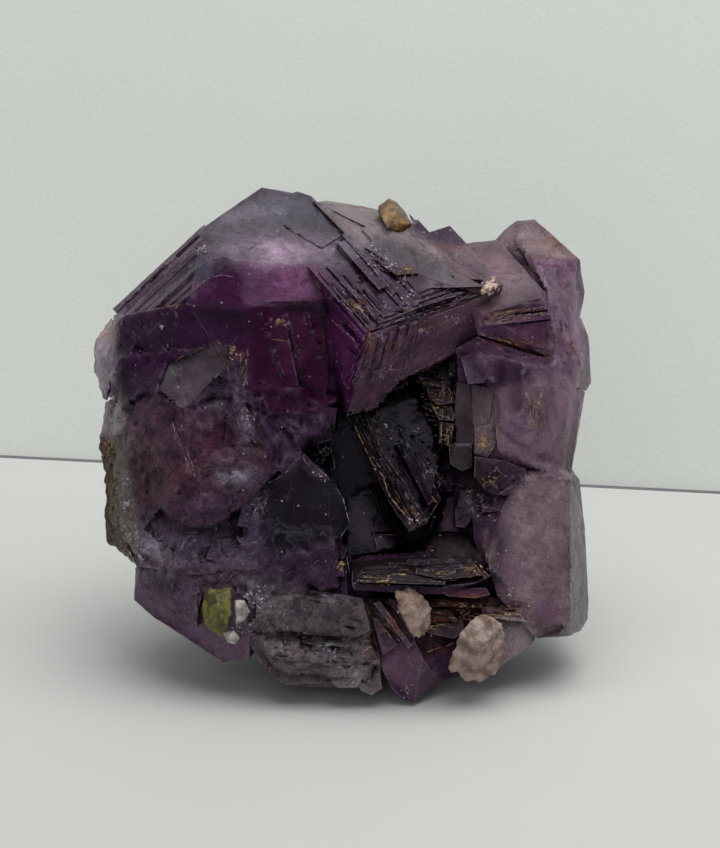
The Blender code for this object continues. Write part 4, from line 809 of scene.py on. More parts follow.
def scanGround(tree, us, vs):
    # how far forward the crystals lie at each point of the grid, and where a small grain covers them
    grainTrees = [rayTreeOf(node) for nodeName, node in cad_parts.items()
                  if nodeName != "fluorite_cluster"]
    heights = np.full((len(vs), len(us)), -9.0)
    grains = np.zeros((len(vs), len(us)), dtype=bool)
    for row, v in enumerate(vs):
        for column, u in enumerate(us):
            place = surfaceSeen(tree, u, v)[0]
            if place is not None:
                heights[row, column] = seenFrom(np.array([place]))[2][0]
            grains[row, column] = any(surfaceSeen(grain, u, v)[0] is not None for grain in grainTrees)
    return heights, grains


def evenOut(heights):
    # fills the gaps between blocks, then blurs what stands there
    for _ in range(2):
        grown = heights.copy()
        for rowStep in (-1, 0, 1):
            for columnStep in (-1, 0, 1):
                moved = np.roll(np.roll(heights, rowStep, 0), columnStep, 1)
                held = moved > heights + brokenGround["gapStep"]
                grown = np.maximum(grown, np.where(held, heights, moved))
        heights = grown
    for _ in range(4):
        heights = blurred(heights)
    return heights


def layGround(name, us, vs, raw, grains):
    # the sheet's heights over the grid, its lift from the crystals and its roughness
    gridU, gridV = np.meshgrid(us, vs)

    def within(outline):
        return insideOutline(gridU.ravel(), gridV.ravel(), outline).reshape(gridU.shape)

    heights = evenOut(raw)
    rough = np.full(gridU.shape, brokenGround["relief"][name])
    lift = np.interp(softMask(within(brokenGround["outlines"][name]), 5), *brokenGround["rim"])
    lift -= 4.0 * (softMask(grains, 2) > 0.12)
    for line, depth, reach in brokenGround["ledges"]:
        heights = heights - ledgeDepth(gridU, gridV, line, depth, reach)
    for flatName, kept in brokenGround["flat"].items():
        covered = within(kept)
        if not covered.any():
            continue
        # the facet's own plane, carried on a little past its border
        level = np.column_stack((gridU[covered], gridV[covered], np.ones(covered.sum())))
        slopes = np.linalg.lstsq(level, raw[covered], rcond=None)[0]
        plane = slopes[0] * gridU + slopes[1] * gridV + slopes[2]
        if flatName in brokenGround["carried"]:
            bank = softMask(within(brokenGround["carried"][flatName]), 6)
            heights = heights * (1 - bank) + np.maximum(heights, plane + 0.1) * bank
        flat = np.clip(softMask(covered, 1) * 1.6 - 0.3, 0.0, 1.0)
        heights = heights * (1 - flat) + (plane - 0.1) * flat
        rough = rough * (1 - flat)
    return heights, lift, rough


def raiseSheet(tree, us, vs, heights, lift, rough):
    # a grid of faces at those heights, without the parts that would hang free or pinch
    columns = len(us) - 1
    rows = len(vs) - 1
    bpy.ops.object.select_all(action="DESELECT")
    bpy.ops.mesh.primitive_grid_add(x_subdivisions=columns, y_subdivisions=rows, size=1)
    sheet = bpy.context.object
    drop = []
    for corner in sheet.data.vertices:
        column = min(columns, int(round((corner.co.x + 0.5) * columns)))
        row = min(rows, int(round((corner.co.y + 0.5) * rows)))
        u = us[column]
        v = vs[row]
        w = heights[row, column] + lift[row, column] + rough[row, column] * reliefAt(u, v)
        corner.co = placeSeen(u, v, w)
        deepest = placeSeen(u, v, w - brokenGround["thickness"])
        far = surfaceBehind(tree, u, v)
        if (lift[row, column] < brokenGround["hanging"] or deepest.z < brokenGround["lowest"] * mm
                or far is None or w - far < brokenGround["thinnest"]):
            drop.append(corner.index)
    shape = shapeOf(sheet.data)
    shape.verts.ensure_lookup_table()
    bmesh.ops.delete(shape, geom=[shape.verts[index] for index in drop], context="VERTS")
    pinched = True
    while pinched:
        pinched = [corner for corner in shape.verts
                   if sum(edge.is_boundary for edge in corner.link_edges) > 2]
        bmesh.ops.delete(shape, geom=pinched, context="VERTS")
    loose = [corner for corner in shape.verts if not corner.link_faces]
    bmesh.ops.delete(shape, geom=loose, context="VERTS")
    putBack(shape, sheet.data)
    return sheet


def thickenSheet(tree, sheet):
    # gives it a thickness along the sight lines, less where the crystals behind it are thin
    takeUp(sheet)
    bpy.ops.object.mode_set(mode="EDIT")
    bpy.ops.mesh.select_mode(type="FACE")
    bpy.ops.mesh.select_all(action="SELECT")
    inward = placeTrue(0, 0, -1.0) - placeTrue(0, 0, 0)
    bpy.ops.mesh.extrude_region_move(TRANSFORM_OT_translate={"value": (0, 0, 0)})
    shape = bmesh.from_edit_mesh(sheet.data)
    for corner in shape.verts:
        if corner.select:
            u, v, w = seenFrom(np.array([corner.co]))
            room = w[0] - (surfaceBehind(tree, u[0], v[0]) or w[0])
            corner.co += inward * max(0.5, min(brokenGround["thickness"], room - 0.6))
    bmesh.update_edit_mesh(sheet.data)
    bpy.ops.mesh.select_all(action="SELECT")
    bpy.ops.mesh.normals_make_consistent(inside=False)
    bpy.ops.mesh.quads_convert_to_tris(quad_method="SHORTEST_DIAGONAL", ngon_method="BEAUTY")
    bpy.ops.object.mode_set(mode="OBJECT")


def weldBrokenGround(obj, name):
    # lays a rough sheet over the crystals inside the outline and joins it to them
    tree = rayTreeOf(obj)
    outline = brokenGround["outlines"][name]
    spacing = brokenGround["spacing"]
    lowU, highU, lowV, highV = spanOf(outline)
    columns = int((highU + 1.0 - (lowU - 1.0)) / spacing)
    rows = int((highV + 1.0 - (lowV - 1.0)) / spacing)
    us = lowU - 1.0 + np.arange(columns + 1) * spacing
    vs = lowV - 1.0 + np.arange(rows + 1) * spacing
    raw, grains = scanGround(tree, us, vs)
    sheet = raiseSheet(tree, us, vs, *layGround(name, us, vs, raw, grains))
    thickenSheet(tree, sheet)
    print(name, "sheet encloses", round(solidVolume(sheet), 2), "cm3")
    joinSolids(obj, sheet)


def solidVolume(obj):
    # in cubic centimetres, or nothing where the mesh isn't closed
    shape = shapeOf(obj.data)
    closed = all(len(edge.link_faces) == 2 for edge in shape.edges)
    volume = shape.calc_volume(signed=True) * 1e6 if closed else 0.0
    shape.free()
    return volume


def joinSolids(obj, other):
    # grows the other solid into this one; both are enlarged for it, so that thin steps are cut cleanly
    for solid in (obj, other):
        solid.data.transform(Matrix.Scale(1 / mm, 4))
    takeUp(obj)
    bpy.ops.object.modifier_add(type="BOOLEAN")
    step = obj.modifiers[-1]
    step.operation = "UNION"
    step.solver = "EXACT"
    step.use_self = len(other.data.vertices) > 8 and other.name.startswith("steps")
    step.object = other
    bpy.ops.object.modifier_apply(modifier=step.name)
    obj.data.transform(Matrix.Scale(mm, 4))
    bpy.data.objects.remove(other, do_unlink=True)
    print("joined: now", round(solidVolume(obj), 2), "cm3,", len(obj.data.polygons), "faces")


# families of thin growth steps: outline as seen, direction, gap between them, length, width, height
growthSteps = {
    "terraceRight": ([(3.6, 42.6), (17.2, 46.9), (13.8, 48.4), (9, 47.5), (5.6, 46.4), (4, 44.6)],
        (0.952, 0.306), 0.55, (2.5, 8.0), 0.5, 0.16),
    "terraceLeft": ([(-2.4, 48.2), (2.8, 42.7), (4.2, 44.2), (5.4, 46.4), (2.2, 50.2), (-0.6, 50.2)],
        (-0.66, 0.75), 0.55, (1.8, 5.0), 0.5, 0.16),
    "longFold": ([(-1.0, 54.6), (0.4, 54.6), (3.4, 51.4), (8.9, 44.3), (7.6, 44.6), (2.2, 50.6)],
        (0.62, -0.78), 0.6, (2.0, 6.0), 0.45, 0.22),
    "shoulder": ([(-28.2, 45.8), (-18.6, 55.2), (-17.2, 53.0), (-17.8, 51), (-21, 48.2), (-27, 45.2)],
        (0.735, 0.678), 0.6, (2.5, 8.0), 0.5, 0.18),
    "cornerFront": ([(-0.4, 37), (0.9, 41.2), (3.0, 41), (3.1, 38), (1.4, 34.6), (0.4, 35)],
        (-0.42, -0.91), 0.6, (1.5, 3.6), 0.35, 0.14),
    "cornerSide": ([(3.6, 41.6), (9.5, 42.4), (8.6, 39.0), (5.0, 37.0), (3.6, 38)], (-0.24, -0.97),
        0.8, (0.8, 2.4), 0.45, 0.2),
    "shield": ([(0.9, 31.8), (7.8, 18.6), (10.2, 19.8), (11.9, 22.4), (12.3, 27), (6, 31), (2.4, 32.4)],
        (0.484, -0.875), 0.42, (1.6, 6.0), 0.26, 0.1),
    "bricks": ([(9.2, 36.8), (13.5, 36.6), (13.6, 30), (12.3, 27.8), (11.7, 30), (10.4, 33.4)],
        (0.99, -0.14), 0.5, (0.7, 1.9), 0.45, 0.3),
    "ledge": ([(1.4, 11.5), (8, 12), (17.4, 11.9), (16.6, 14.4), (8, 13.9), (1.4, 12.9)], (0.9998, 0.02),
        0.42, (1.6, 6.0), 0.4, 0.14),
    "fissure": ([(14.8, 41.4), (17, 42.6), (25.8, 40.4), (25.6, 38.6), (16.4, 40.8)], (0.95, -0.31),
        0.5, (2.0, 6.0), 0.35, 0.18),
    "underRoof": ([(17.8, 43.2), (25.4, 44.4), (25.6, 46.0), (17.8, 44.8)], (0.99, 0.12), 0.45, (2.0, 6.0),
        0.35, 0.18),
    "bottomRibs": ([(3.6, 8.8), (5.4, 8.8), (9.0, 4.4), (8.2, 3.2), (4.8, 3.6)], (0.66, -0.75),
        0.5, (1.2, 4.4), 0.35, 0.18),
    "underLedge": ([(9.6, 9.2), (22.4, 8.0), (21.6, 6.8), (14.4, 6.4), (10.4, 5.4)], (0.985, -0.13),
        0.5, (1.0, 4.2), 0.4, 0.22),
    "lowerMiddle": ([(-9.0, 4.1), (3.6, 3.4), (3.8, 0.7), (-8.8, 1.0)], (0.998, -0.06), 0.6, (1.4, 5.0),
        0.4, 0.13),
    "lowerBlock": ([(-7.2, 9.4), (2.0, 9.0), (2.8, 5.4), (-6.4, 5.8)], (0.99, -0.1), 0.9, (1.0, 3.4),
        0.5, 0.12),
    "rightMiddle": ([(22.6, 34.6), (25.2, 35.2), (25.8, 28.6), (22.8, 28.8)], (0.08, -0.997),
        0.7, (0.8, 3.0), 0.4, 0.14),
    "rightEdge": ([(26.2, 45), (29.2, 44), (30.2, 38), (28.6, 35.8), (26.4, 38)], (0.3, -0.95),
        0.9, (0.8, 3.0), 0.5, 0.12),
    "peak": ([(20.8, 52.4), (28.8, 51.6), (28.6, 50.0), (23.4, 48.9)], (0.93, -0.37), 0.6, (0.8, 3.2),
        0.45, 0.2),
    "rightLumps": ([(14.2, 22.4), (19.8, 26.0), (22, 24.8), (19.8, 20.6), (16.6, 20.2), (14.4, 18.6)],
        (0.8, 0.6), 0.9, (0.8, 2.4), 0.5, 0.22),
    "mainFront": ([(-11.2, 44.8), (-3.0, 45.2), (-2.6, 36), (-10.6, 35)], (0.34, -0.94), 2.2, (1.0, 3.0),
        0.5, 0.06),
}


# how alike the surface must face along a step, how far it may bulge and how deep a step is rooted (mm)
stepRules = {"alike": 0.9, "bulge": 0.35, "root": 0.5, "seed": 11}


def addStep(shape, tree, start, end, width, height):
    # a long wedge whose one long side stands up by height and whose other side runs out flush
    low, lowNormal = surfaceSeen(tree, *start)
    high, highNormal = surfaceSeen(tree, *end)
    middle, middleNormal = surfaceSeen(tree, (start[0] + end[0]) / 2, (start[1] + end[1]) / 2)
    if low is None or high is None or middle is None:
        return 0
    if min(lowNormal.dot(highNormal), lowNormal.dot(middleNormal)) < stepRules["alike"]:
        return 0
    if (middle - (low + high) / 2).length > stepRules["bulge"] * mm:
        return 0
    along = (high - low).normalized()
    normal = (lowNormal + highNormal + middleNormal).normalized()
    side = along.cross(normal).normalized() * width * mm
    up = normal * height * mm
    down = normal * -stepRules["root"] * mm
    corners = []
    for place, share in ((low, 0.7), (high, 1.0)):
        corners += [place - side * 0.5 + up * share, place + side * 0.5 * share + up * 0.08,
                    place + side * 0.5 * share + down, place - side * 0.5 + down]
    made = [shape.verts.new(corner) for corner in corners]
    for ring in ((0, 1, 2, 3), (7, 6, 5, 4), (0, 4, 5, 1), (1, 5, 6, 2), (2, 6, 7, 3), (3, 7, 4, 0)):
        shape.faces.new([made[index] for index in ring])
    return 1


def addGrowthSteps(obj):
    tree = rayTreeOf(obj)
    chance = random.Random(stepRules["seed"])
    total = 0
    shape = bmesh.new()
    for outline, direction, gap, (shortest, longest), width, height in growthSteps.values():
        lowU, highU, lowV, highV = spanOf(outline)
        middle = ((lowU + highU) / 2, (lowV + highV) / 2)
        reach = math.hypot(highU - lowU, highV - lowV) / 2
        offset = -reach
        while offset < reach:
            offset += gap * chance.uniform(0.7, 1.4)
            place = -reach
            while place < reach:
                length = chance.uniform(shortest, longest)
                start = (middle[0] + direction[0] * place - direction[1] * offset,
                         middle[1] + direction[1] * place + direction[0] * offset)
                end = (start[0] + direction[0] * length, start[1] + direction[1] * length)
                if insideOutline(np.array([start[0], end[0]]), np.array([start[1], end[1]]), outline).all():
                    total += addStep(shape, tree, start, end, width * chance.uniform(0.7, 1.5),
                                     height * chance.uniform(0.5, 1.4))
                    place += length
                place += chance.uniform(0.2, 0.8)
    bmesh.ops.recalc_face_normals(shape, faces=shape.faces)
    steps = newObject("steps", bpy.data.meshes.new("steps"))
    putBack(shape, steps.data)
    joinSolids(obj, steps)
    print("growth steps joined:", total)


def meshArrays(mesh):
    places = np.empty(len(mesh.vertices) * 3)
    normals = np.empty(len(mesh.vertices) * 3)
    mesh.vertices.foreach_get("co", places)
    mesh.vertices.foreach_get("normal", normals)
    return places.reshape(-1, 3), normals.reshape(-1, 3)


def facesFront(places, normals, slack=0.0):
    # true where the surface faces the front, or turns away from it by less than the slack
    toFront = np.array(camera.location) - places
    return (normals * toFront).sum(axis=1) > -slack * np.linalg.norm(camera.location)


def softSpot(u, v, middle, halves, fall):
    # 1 in the middle of the spot, thinning out over its half widths
    return np.exp(-(((u - middle[0]) / halves[0]) ** 2 + ((v - middle[1]) / halves[1]) ** 2) * fall)


def paint(mesh, name, domain, values):
    layer = mesh.color_attributes.new(name, "FLOAT_COLOR", domain)
    layer.data.foreach_set("color", values.ravel())


def tintFacets(obj):
    # each facet keeps its own tint and roughness, so its edges stay crisp; a few tints hold painted glow and
    # painted shade, as noted in the facet table
    mesh = obj.data
    count = len(mesh.polygons)
    centres = np.empty(count * 3)
    normals = np.empty(count * 3)
    mesh.polygons.foreach_get("center", centres)
    mesh.polygons.foreach_get("normal", normals)
    centres = centres.reshape(-1, 3)
    normals = normals.reshape(-1, 3)
    u, v, w = seenFrom(centres)
    front = facesFront(centres, normals) & (w > fluorite["paintedDepth"])
    chance = np.random.default_rng(3)
    total = np.zeros((count, 4))
    passes = 8
    for turn in range(passes):
        away = 0.3 + 0.9 * turn / passes
        nearU = u + chance.uniform(-away, away, count)
        nearV = v + chance.uniform(-away, away, count)
        tints = np.tile(np.array((*linear(*fluorite["bodyTint"]), fluorite["bodyRough"])), (count, 1))
        for outline, tint, rough in facetTints.values():
            hit = insideOutline(nearU, nearV, outline) & front
            tints[hit] = (*linear(*tint), rough)
        total += tints / passes
    tints = total
    for name in crispFacets:
        outline, tint, rough = facetTints[name]
        hit = insideOutline(u, v, outline) & front
        tints[hit] = (*linear(*tint), rough)
    paint(mesh, "facetTint", "CORNER", np.repeat(tints, 3, axis=0))


def paintClouds(obj):
    # soft colour over the facets, thinning out from the middle of each cloud: the crystal's tone and stain,
    # and in places painted glow and painted shade
    mesh = obj.data
    places, normals = meshArrays(mesh)
    u, v, w = seenFrom(places)
    front = facesFront(places, normals) & (w > fluorite["paintedDepth"])
    tints = np.zeros((len(places), 3))
    cover = np.zeros(len(places))
    for midU, midV, halfU, halfV, tint, strength in softClouds:
        near = softSpot(u, v, (midU, midV), (halfU, halfV), 0.8) * strength * front
        total = near + cover * (1 - near)
        share = near / np.maximum(total, 1e-6)
        cloud = np.array(linear(*tint)) * fluorite["cloudLight"]
        tints = tints * (1 - share[:, None]) + cloud * share[:, None]
        cover = total
    paint(mesh, "cloudTintAndLight", "POINT", np.column_stack((tints, cover)))


def sheltered(obj, rays=9, reach=5.0 * mm):
    # how much of the sky each corner of the mesh can't see within reach
    tree = rayTreeOf(obj)
    chance = random.Random(5)
    directions = []
    for _ in range(rays):
        z = chance.random()
        turn = chance.random() * 2 * math.pi
        flat = math.sqrt(1 - z * z)
        directions.append((flat * math.cos(turn), flat * math.sin(turn), z))
    values = []
    for corner in obj.data.vertices:
        normal = corner.normal
        side = normal.orthogonal().normalized()
        other = normal.cross(side)
        start = corner.co + normal * 0.05 * mm
        hits = 0.0
        for x, y, z in directions:
            found = tree.ray_cast(start, side * x + other * y + normal * z, reach)
            if found[0] is not None:
                hits += 1.0 - found[3] / reach
        values.append(hits / rays)
    return np.array(values)


def keepInside(obj):
    # nothing stands past the specimen's box
    places = meshArrays(obj.data)[0]
    margin = 0.02 * mm
    places = np.clip(places, np.array(cadBox[0]) + margin, np.array(cadBox[1]) - margin)
    obj.data.vertices.foreach_set("co", places.ravel())
    obj.data.update()


def proudEdges(mesh):
    # 1 on corners of the mesh that lie on a sharp outer edge
    shape = shapeOf(mesh)
    values = np.zeros(len(shape.verts))
    for edge in shape.edges:
        if len(edge.link_faces) == 2 and edge.is_convex:
            turn = edge.calc_face_angle(0.0)
            if turn > 0.45:
                value = min(1.0, turn / 0.9)
                for corner in edge.verts:
                    values[corner.index] = max(values[corner.index], value)
    shape.free()
    return values


def markSurface(obj):
    # iron stain, proud edges, broken ground and shelter, in one attribute's four channels
    mesh = obj.data
    places, normals = meshArrays(mesh)
    u, v, w = seenFrom(places)
    front = facesFront(places, normals, 0.3) & (w > fluorite["paintedDepth"])
    iron = np.zeros(len(places))
    for midU, midV, halfU, halfV, strength in ironPlaces:
        iron = np.maximum(iron, softSpot(u, v, (midU, midV), (halfU, halfV), 0.7) * strength * front)
    broken = np.zeros(len(places))
    for outlineName, outline in brokenGround["outlines"].items():
        share = 0.3 if outlineName.startswith("right") else 1.0
        broken[insideOutline(u, v, outline) & (w > brokenGround["deepestMarked"])] = share
    for outline in brokenGround["flat"].values():
        broken[insideOutline(u, v, outline)] = 0.2
    paint(mesh, "marks", "POINT", np.column_stack((iron, proudEdges(mesh), broken, sheltered(obj))))


def addScale(tree, colour, value):
    node = tree.nodes.new("ShaderNodeVectorMath")
    node.operation = "SCALE"
    tree.links.new(colour, node.inputs[0])
    tree.links.new(value, node.inputs["Scale"])
    return node.outputs[0]


def attributeNode(tree, name):
    node = tree.nodes.new("ShaderNodeAttribute")
    node.attribute_name = name
    return node


def paintedMarks(tree):
    # what was painted onto the mesh, as node outputs; "light" is how pale the facet's own tint is
    facet = attributeNode(tree, "facetTint")
    cloud = attributeNode(tree, "cloudTintAndLight")
    marks = attributeNode(tree, "marks")
    split = tree.nodes.new("ShaderNodeSeparateColor")
    tree.links.new(marks.outputs["Color"], split.inputs[0])
    base = tree.nodes.new("ShaderNodeSeparateColor")
    tree.links.new(facet.outputs["Color"], base.inputs[0])
    return {
        "tint": facet.outputs["Color"], "rough": facet.outputs["Alpha"], "light": base.outputs[1],
        "cloud": cloud.outputs["Color"], "cover": cloud.outputs["Alpha"],
        "iron": split.outputs[0], "edge": split.outputs[1], "broken": split.outputs[2],
        "shelter": marks.outputs["Alpha"],
    }


def crystalTint(tree, where, marks, wisps):
    # cloudy depth inside the crystal, and fine cracks that catch the light
    broken = marks["broken"]
    deep = addNoise(tree, where, fluorite["deepScale"], 4.0, 0.62, 0.5)
    grit = addNoise(tree, where, fluorite["gritScale"], 3.0, 0.75)
    veil = addMath(tree, "MULTIPLY", marks["cover"], addRamp(tree, wisps, 0.3, 0.62, 0.55, 1.1), clamp=True)
    colour = addMix(tree, veil, marks["tint"], marks["cloud"])
    colour = addScale(tree, colour, addRamp(tree, deep, 0.3, 0.7, 0.66, 1.28))
    # darkest and palest, each on whole and then on broken ground
    for cloud, dark, pale in ((wisps, (0.78, 0.64), (1.2, 1.34)), (grit, (0.8, 0.62), (1.22, 1.44))):
        colour = addScale(tree, colour, addRamp(tree, cloud, 0.3, 0.7,
                                                addRamp(tree, broken, 0.1, 0.8, *dark),
                                                addRamp(tree, broken, 0.1, 0.8, *pale)))
    cracks = useGroup(tree, hairLines, {"Where": where, "Scale": fluorite["crackScale"], "Width": 0.035})
    crackShare = addMath(tree, "MULTIPLY", cracks, addRamp(tree, broken, 0.0, 1.0, 0.05, 0.15))
    return addMix(tree, crackShare, colour, linear(*fluorite["crackTint"]))


def glintAndWearTint(tree, where, marks, wisps, colour):
    # pale proud edges, partly wear and partly painted glints, gilded where there is iron, and rust; fainter
    # on broken ground
    line = addRamp(tree, marks["edge"], 0.62, 0.92)
    edgeGlintAndWear = addMath(tree, "MULTIPLY", line, addRamp(tree, wisps, 0.42, 0.6, 0.2, 0.9))
    edgeGlintAndWear = addMath(tree, "MULTIPLY", edgeGlintAndWear, addRamp(tree, marks["broken"], 0.4, 0.9, 1.0, 0.25))
    gilt = addRamp(tree, marks["iron"], 0.15, 0.6)
    edgeTint = addMix(tree, gilt, linear(*fluorite["paleTint"]), linear(*fluorite["goldTint"]))
    edgeGlintAndWear = addMath(tree, "MULTIPLY", edgeGlintAndWear, addRamp(tree, gilt, 0.0, 1.0, 0.5, 1.0))
    colour = addMix(tree, edgeGlintAndWear, colour, edgeTint)
    rustPatch = addRamp(tree, addNoise(tree, where, fluorite["rustScale"], 3.0, 0.65), 0.44, 0.62)
    rust = addMath(tree, "MULTIPLY", addRamp(tree, marks["iron"], 0.35, 0.9), rustPatch)
    return addMix(tree, rust, colour, linear(*fluorite["rustTint"])), rust


def shadeAndDustTint(tree, where, marks, colour):
    # painted shade: sheltered hollows are darkened, less so in pale crystal; dust lies on what faces up
    light = marks["light"]
    shelter = marks["shelter"]
    # painted shade: the share of colour left in the most sheltered places
    deepest = addRamp(tree, marks["broken"], 0.3, 0.8, addRamp(tree, light, 0.03, 0.12, 0.22, 0.7), 0.2)
    colour = addScale(tree, colour, addRamp(tree, shelter, 0.08, 0.5, 1.0, deepest))
    dust = useGroup(tree, dustVeil, {"Where": where, "Patch Scale": fluorite["dustPatches"],
                                     "Amount": fluorite["dustAmount"]})
    dust = addMath(tree, "MULTIPLY", dust, addRamp(tree, shelter, 0.05, 0.3, 1.0, 0.1))
    dust = addMath(tree, "MULTIPLY", dust, addRamp(tree, light, 0.0, 0.1, 0.04, 1.0))
    colour = addMix(tree, dust, colour, linear(*fluorite["dustTint"]))
    dots = useGroup(tree, specks, {"Where": where, "Scale": fluorite["speckScale"],
                                   "Share": fluorite["speckShare"]})
    return addMix(tree, addMath(tree, "MULTIPLY", dots, 0.6), colour, linear(*fluorite["speckTint"])), dust


def cleanGloss(tree, marks, wisps):
    # the gloss of clean faces that look up at the light
    parts = tree.nodes.new("ShaderNodeSeparateXYZ")
    tree.links.new(tree.nodes.new("ShaderNodeNewGeometry").outputs["Normal"], parts.inputs[0])
    gloss = addMath(tree, "MULTIPLY", addRamp(tree, parts.outputs["Z"], 0.25, 0.7, 0.0, fluorite["gloss"]),
                    addRamp(tree, wisps, 0.35, 0.6, 0.3, 1.0))
    gloss = addMath(tree, "MULTIPLY", gloss, addRamp(tree, marks["light"], 0.0, 0.05, 0.2, 1.0))
    return addMath(tree, "MULTIPLY", gloss, addRamp(tree, marks["shelter"], 0.1, 0.35, 1.0, 0.15), clamp=True)


def crystalNormal(tree, where, marks):
    # growth lines, and grit that is stronger on broken ground
    lines = useGroup(tree, growthLines, {"Where": where, "Across": (0.35, 0.2, 0.9), "Per Metre": 1400.0})
    height = addMath(tree, "MULTIPLY", addNoise(tree, where, 1300.0, 3.0, 0.7),
                     addRamp(tree, marks["broken"], 0.0, 1.0, 0.3, 1.0))
    return addBump(tree, height, 0.6, 0.0004, addBump(tree, lines, 0.3, 0.0002))


def fluoriteMaterial():
    made, tree, shader, where = newMaterial("purpleFluorite")
    marks = paintedMarks(tree)
    wisps = addNoise(tree, where, fluorite["wispScale"], 4.0, 0.7, 0.8)
    colour = crystalTint(tree, where, marks, wisps)
    colour, rust = glintAndWearTint(tree, where, marks, wisps, colour)
    colour, dust = shadeAndDustTint(tree, where, marks, colour)
    rough = addMath(tree, "MULTIPLY", marks["rough"], addRamp(tree, wisps, 0.3, 0.7, 0.6, 1.5))
    rough = addMath(tree, "ADD", rough, addMath(tree, "MULTIPLY", dust, 0.5))
    rough = addMath(tree, "ADD", rough, addMath(tree, "MULTIPLY", rust, 0.4), clamp=True)
    feedAll(tree, shader, {
        "Base Color": colour,
        "Roughness": rough,
        "Normal": crystalNormal(tree, where, marks),
        "Coat Weight": cleanGloss(tree, marks, wisps),
        "Coat Roughness": fluorite["coatRough"],
        "Transmission Weight": fluorite["transmission"],
        "IOR": fluorite["ior"],
        "Specular IOR Level": fluorite["specular"],
        "Specular Tint": fluorite["glintTint"],
    })
    inside = tree.nodes.new("ShaderNodeVolumeAbsorption")
    feedAll(tree, inside, {"Color": fluorite["absorbTint"], "Density": fluorite["absorbPerMetre"]})
    tree.links.new(inside.outputs[0], tree.nodes["Material Output"].inputs["Volume"])
    return made


def nearEnough(edge):
    # the front and the crust are split finely
    place = edge.verts[0].co
    crust = place.x < -24 * mm and place.y < 14 * mm and 10 * mm < place.z < 44 * mm
    return place.y < 2 * mm or crust


def makeFluorite():
    obj = copyOfNode("fluorite_cluster", "fluoriteCrystals")
    editAll(obj)
    bpy.ops.mesh.dissolve_limited(angle_limit=math.radians(0.3))
    bpy.ops.mesh.quads_convert_to_tris(quad_method="BEAUTY", ngon_method="BEAUTY")
    bpy.ops.object.mode_set(mode="OBJECT")
    for name in brokenGround["outlines"]:
        weldBrokenGround(obj, name)
    print("broken ground welded:", len(obj.data.polygons), "faces")
    addGrowthSteps(obj)
    for longest, passes in ((6.0, 3), (3.0, 3), (1.8, 3)):
        splitLongEdges(obj, longest * mm, passes)
    splitLongEdges(obj, fluorite["frontEdge"] * mm, 4, keep=nearEnough)
    for group, weigh in (("", None), ("broken", weighBroken), ("crust", weighCrust)):
        if weigh:
            weigh(obj, group)
        for size, strength in fluorite["roughening"][group]:
            roughen(obj, size * mm, strength * mm, group)
    keepInside(obj)
    takeUp(obj)
    bpy.ops.object.shade_smooth_by_angle(angle=math.radians(22))
    print("fluorite crystals made:", len(obj.data.polygons), "faces")
    tintFacets(obj)
    paintClouds(obj)
    markSurface(obj)
    obj.data.materials.append(fluoriteMaterial())
    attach(obj, "root")
    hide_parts("fluorite_cluster")
    print("fluorite painted")
    return obj


crystals = makeFluorite()

